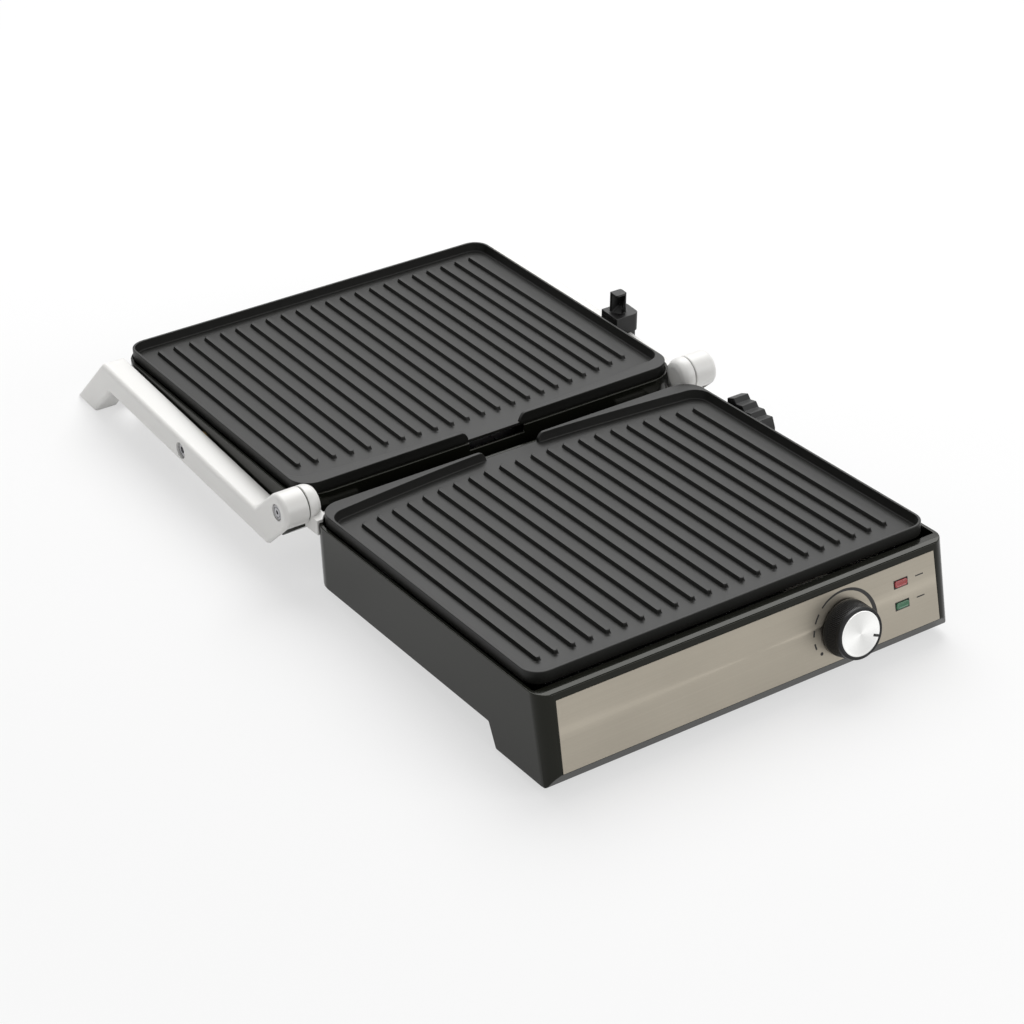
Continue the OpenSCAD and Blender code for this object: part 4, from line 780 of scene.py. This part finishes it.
points, faces = bar(9.9, 14.1, -0.8, 0.8, 14.5, 14.93)
c, s = math.cos(math.radians(POINTER_TURN)), math.sin(math.radians(POINTER_TURN))
points = points @ np.array([[c, s, 0], [-s, c, 0], [0, 0, 1]])
paint(add_piece("pointer_mark", knob_frame(points), faces, "knob", smooth=False), "panel_print")
print("cap and pointer done")

# %% [markdown]
# The dial is printed on the panel: a tapered arc, three ticks and a dot, a few hundredths of a
# millimetre thick. The places beside the lamps carry one plain dash each and no words.

# %% Printed dial
def swept_mark(a0, a1, r, w0, w1, steps=48):
    """Arc of radius r whose width grows from w0 to w1, as a thin closed band."""
    a = np.radians(np.linspace(a0, a1, steps))
    w = np.linspace(w0, w1, steps)
    rows = [np.stack([(r + d * w) * np.cos(a), (r + d * w) * np.sin(a), np.full(steps, h)], -1)
            for d, h in ((-0.5, 0.0), (-0.5, 0.06), (0.5, 0.06), (0.5, 0.0))]
    faces = grid_faces(4, steps, wrap_rows=True)
    faces += [[end + k * steps for k in range(4)] for end in (0, steps - 1)]
    return np.array(rows).reshape(-1, 3), faces


marks = [swept_mark(132, -24, 23.3, 0.9, 3.3)]
marks += [swept_mark(a, b, 23.2, 1.15, 1.15, 8) for a, b in ((157, 142), (177, 167), (198, 188))]
dot = lathe([(1.1, 0.0), (1.1, 0.06)], 20)
marks.append((dot[0] + [-18.6, -11.1, 0], dot[1]))
points, faces = joined(*marks)
paint(add_piece("dial_print", knob_frame(points), faces, "base", smooth=False), "panel_print")
LAMP_X, LAMP_DOWNS, DASH_DOWNS, PRINT_H, FRAME_W = 109.9, (12.3, 26.5), (11.6, 25.6), 0.05, 0.3
labels = [bar(121.2, 127.2, -y - 0.4, -y + 0.4, 0, PRINT_H) for y in DASH_DOWNS]
for y in LAMP_DOWNS:
    labels += [bar(LAMP_X - 5.4, LAMP_X + 5.4, -y + d - FRAME_W, -y + d + FRAME_W, 0, PRINT_H)
               for d in (-2.5, 2.5)]
    labels += [bar(LAMP_X + d - FRAME_W, LAMP_X + d + FRAME_W, -y - 2.2, -y + 2.2, 0, PRINT_H)
               for d in (-5.15, 5.15)]
points, faces = joined(*labels)
paint(add_piece("lamp_dashes", panel_frame(points), faces, "base", smooth=False), "panel_print")
print("dial printed")

# %% [markdown]
# Each lamp is a small moulded lens: a rounded rectangle whose edge slopes up to a flat window.
# Rows of the same rounded outline, moved in and up step by step, make the form.

# %% Lamp lenses
def lens_shell(half_w, half_h, depth, out):
    """Rounded rectangle rows: (inset, height) from the back of the lens to its window."""
    rows = []
    for inset, z in ((0, -depth), (0, out - 0.45), (0.15, out - 0.15), (0.5, out), (0.8, out),
                     (1.0, out - 0.15), (1.2, out - 0.2)):
        w, h, r = half_w - inset, half_h - inset, max(1.5 - 0.6 * inset, 0.2)
        corners = [arc(sx * (w - r), sy * (h - r), r, a, a + 90, 6)
                   for sx, sy, a in ((1, 1, 0), (-1, 1, 90), (-1, -1, 180), (1, -1, 270))]
        outline = np.concatenate(corners)
        rows.append(np.column_stack([outline, np.full(len(outline), z)]))
    rows = np.array(rows)
    n, count = rows.shape[1], len(rows)
    faces = grid_faces(count, n, wrap_columns=True)
    faces += [list(range(n)), list(range((count - 1) * n, count * n))]
    return rows.reshape(-1, 3), faces


LENS_HALF_W, LENS_HALF_H, LENS_DEPTH, LENS_OUT = 4.9, 2.1, 4.0, 0.8
for node_name, down in zip(("red_lamp_lens", "green_lamp_lens"), LAMP_DOWNS):
    points, faces = lens_shell(LENS_HALF_W, LENS_HALF_H, LENS_DEPTH, LENS_OUT)
    piece = add_piece(node_name + "_window", panel_frame(points + [LAMP_X, -down, 0]), faces, "base",
                      node_name)
    crisp(paint(piece, slot_of_node[node_name]), 40)
print("lamps done")

# %% [markdown]
# The stage: a wide pale floor and a white surround. For the camera and for reflections the floor is
# part white near the grill, where it still takes a soft shadow, and all white further out. The main
# lamp is one large soft panel, high up and behind the grill, as a photographer hangs one over
# kitchenware: the plates' tops mirror its light, and the faces turned to the camera stay deep. A
# small lamp in front and to the right lifts the silver barrels and the panel's right end.

# %% World
LIGHT_STRENGTH, SEEN_STRENGTH = 0.42, 1.0


def seen_rays(tree):
    """1 for camera, glossy and transmission rays, 0 for the others."""
    path = tree.nodes.new("ShaderNodeLightPath")
    total = path.outputs["Is Camera Ray"]
    for kind in ("Is Glossy Ray", "Is Transmission Ray"):
        larger = tree.nodes.new("ShaderNodeMath")
        larger.operation = "MAXIMUM"
        tree.links.new(total, larger.inputs[0])
        tree.links.new(path.outputs[kind], larger.inputs[1])
        total = larger.outputs[0]
    return total


world = bpy.data.worlds.new("world")
bpy.context.scene.world = world
world.use_nodes = True
tree = world.node_tree
background = tree.nodes["Background"]
background.inputs["Color"].default_value = (1, 1, 1, 1)
strength = tree.nodes.new("ShaderNodeMapRange")
strength.inputs["To Min"].default_value = LIGHT_STRENGTH
strength.inputs["To Max"].default_value = SEEN_STRENGTH
tree.links.new(seen_rays(tree), strength.inputs["Value"])
tree.links.new(strength.outputs["Result"], background.inputs["Strength"])
print("world is", LIGHT_STRENGTH, "for light and", SEEN_STRENGTH, "where it is seen")

# %% Floor
FLOOR_HALF, FLOOR_GREY, FLOOR_DOWN = 9, 0.88, 0.0002
FADE_START, FADE_END, NEAR_WHITE = 0.3, 1.1, 0.6
floor_mesh = bpy.data.meshes.new("floor")
corners = [[x * FLOOR_HALF, y * FLOOR_HALF, 0] for x, y in ((-1, -1), (1, -1), (1, 1), (-1, 1))]
floor_mesh.from_pydata(corners, [], [[0, 1, 2, 3]])
floor = bpy.data.objects.new("floor", floor_mesh)
bpy.context.scene.collection.objects.link(floor)
floor.location.z = -FLOOR_DOWN
floor_mat = bpy.data.materials.new("floor")
floor_mat.use_nodes = True
tree = floor_mat.node_tree
shader = tree.nodes["Principled BSDF"]
shader.inputs["Base Color"].default_value = (FLOOR_GREY, FLOOR_GREY, FLOOR_GREY, 1)
shader.inputs["Roughness"].default_value = 0.9
coords = tree.nodes.new("ShaderNodeTexCoord")
reach = tree.nodes.new("ShaderNodeVectorMath")
reach.operation = "LENGTH"
tree.links.new(coords.outputs["Object"], reach.inputs[0])
fade = tree.nodes.new("ShaderNodeMapRange")
fade.interpolation_type = "SMOOTHSTEP"
fade.inputs["From Min"].default_value, fade.inputs["From Max"].default_value = FADE_START, FADE_END
fade.inputs["To Min"].default_value = NEAR_WHITE
tree.links.new(reach.outputs["Value"], fade.inputs["Value"])
share = tree.nodes.new("ShaderNodeMath")
share.operation = "MULTIPLY"
tree.links.new(fade.outputs["Result"], share.inputs[0])
tree.links.new(seen_rays(tree), share.inputs[1])
white = tree.nodes.new("ShaderNodeEmission")
mixed = tree.nodes.new("ShaderNodeMixShader")
tree.links.new(share.outputs[0], mixed.inputs[0])
tree.links.new(shader.outputs[0], mixed.inputs[1])
tree.links.new(white.outputs[0], mixed.inputs[2])
tree.links.new(mixed.outputs[0], tree.nodes["Material Output"].inputs["Surface"])
floor_mesh.materials.append(floor_mat)
print("floor", tuple(round(v, 2) for v in floor.dimensions))

# %% Lamp
def soft_lamp(name, place, size, power):
    """Area lamp, width by height, that looks at the middle of the grill."""
    lamp = bpy.data.lights.new(name, "AREA")
    lamp.shape, lamp.size, lamp.size_y, lamp.energy = "ELLIPSE", size[0], size[1], power
    thing = bpy.data.objects.new(name, lamp)
    bpy.context.scene.collection.objects.link(thing)
    thing.location = place
    thing.rotation_euler = (Vector((0, 0, 0.03)) - Vector(place)).to_track_quat("-Z", "Y").to_euler()
    return thing


soft_lamp("overhead", (0.76, 1.15, 1.97), (2.4, 2.4), 50)
soft_lamp("side", (0.95, -1.6, 0.9), (1.6, 1.0), 9)
bpy.context.scene.view_settings.view_transform = "Standard"
print("stage and lamp ready")
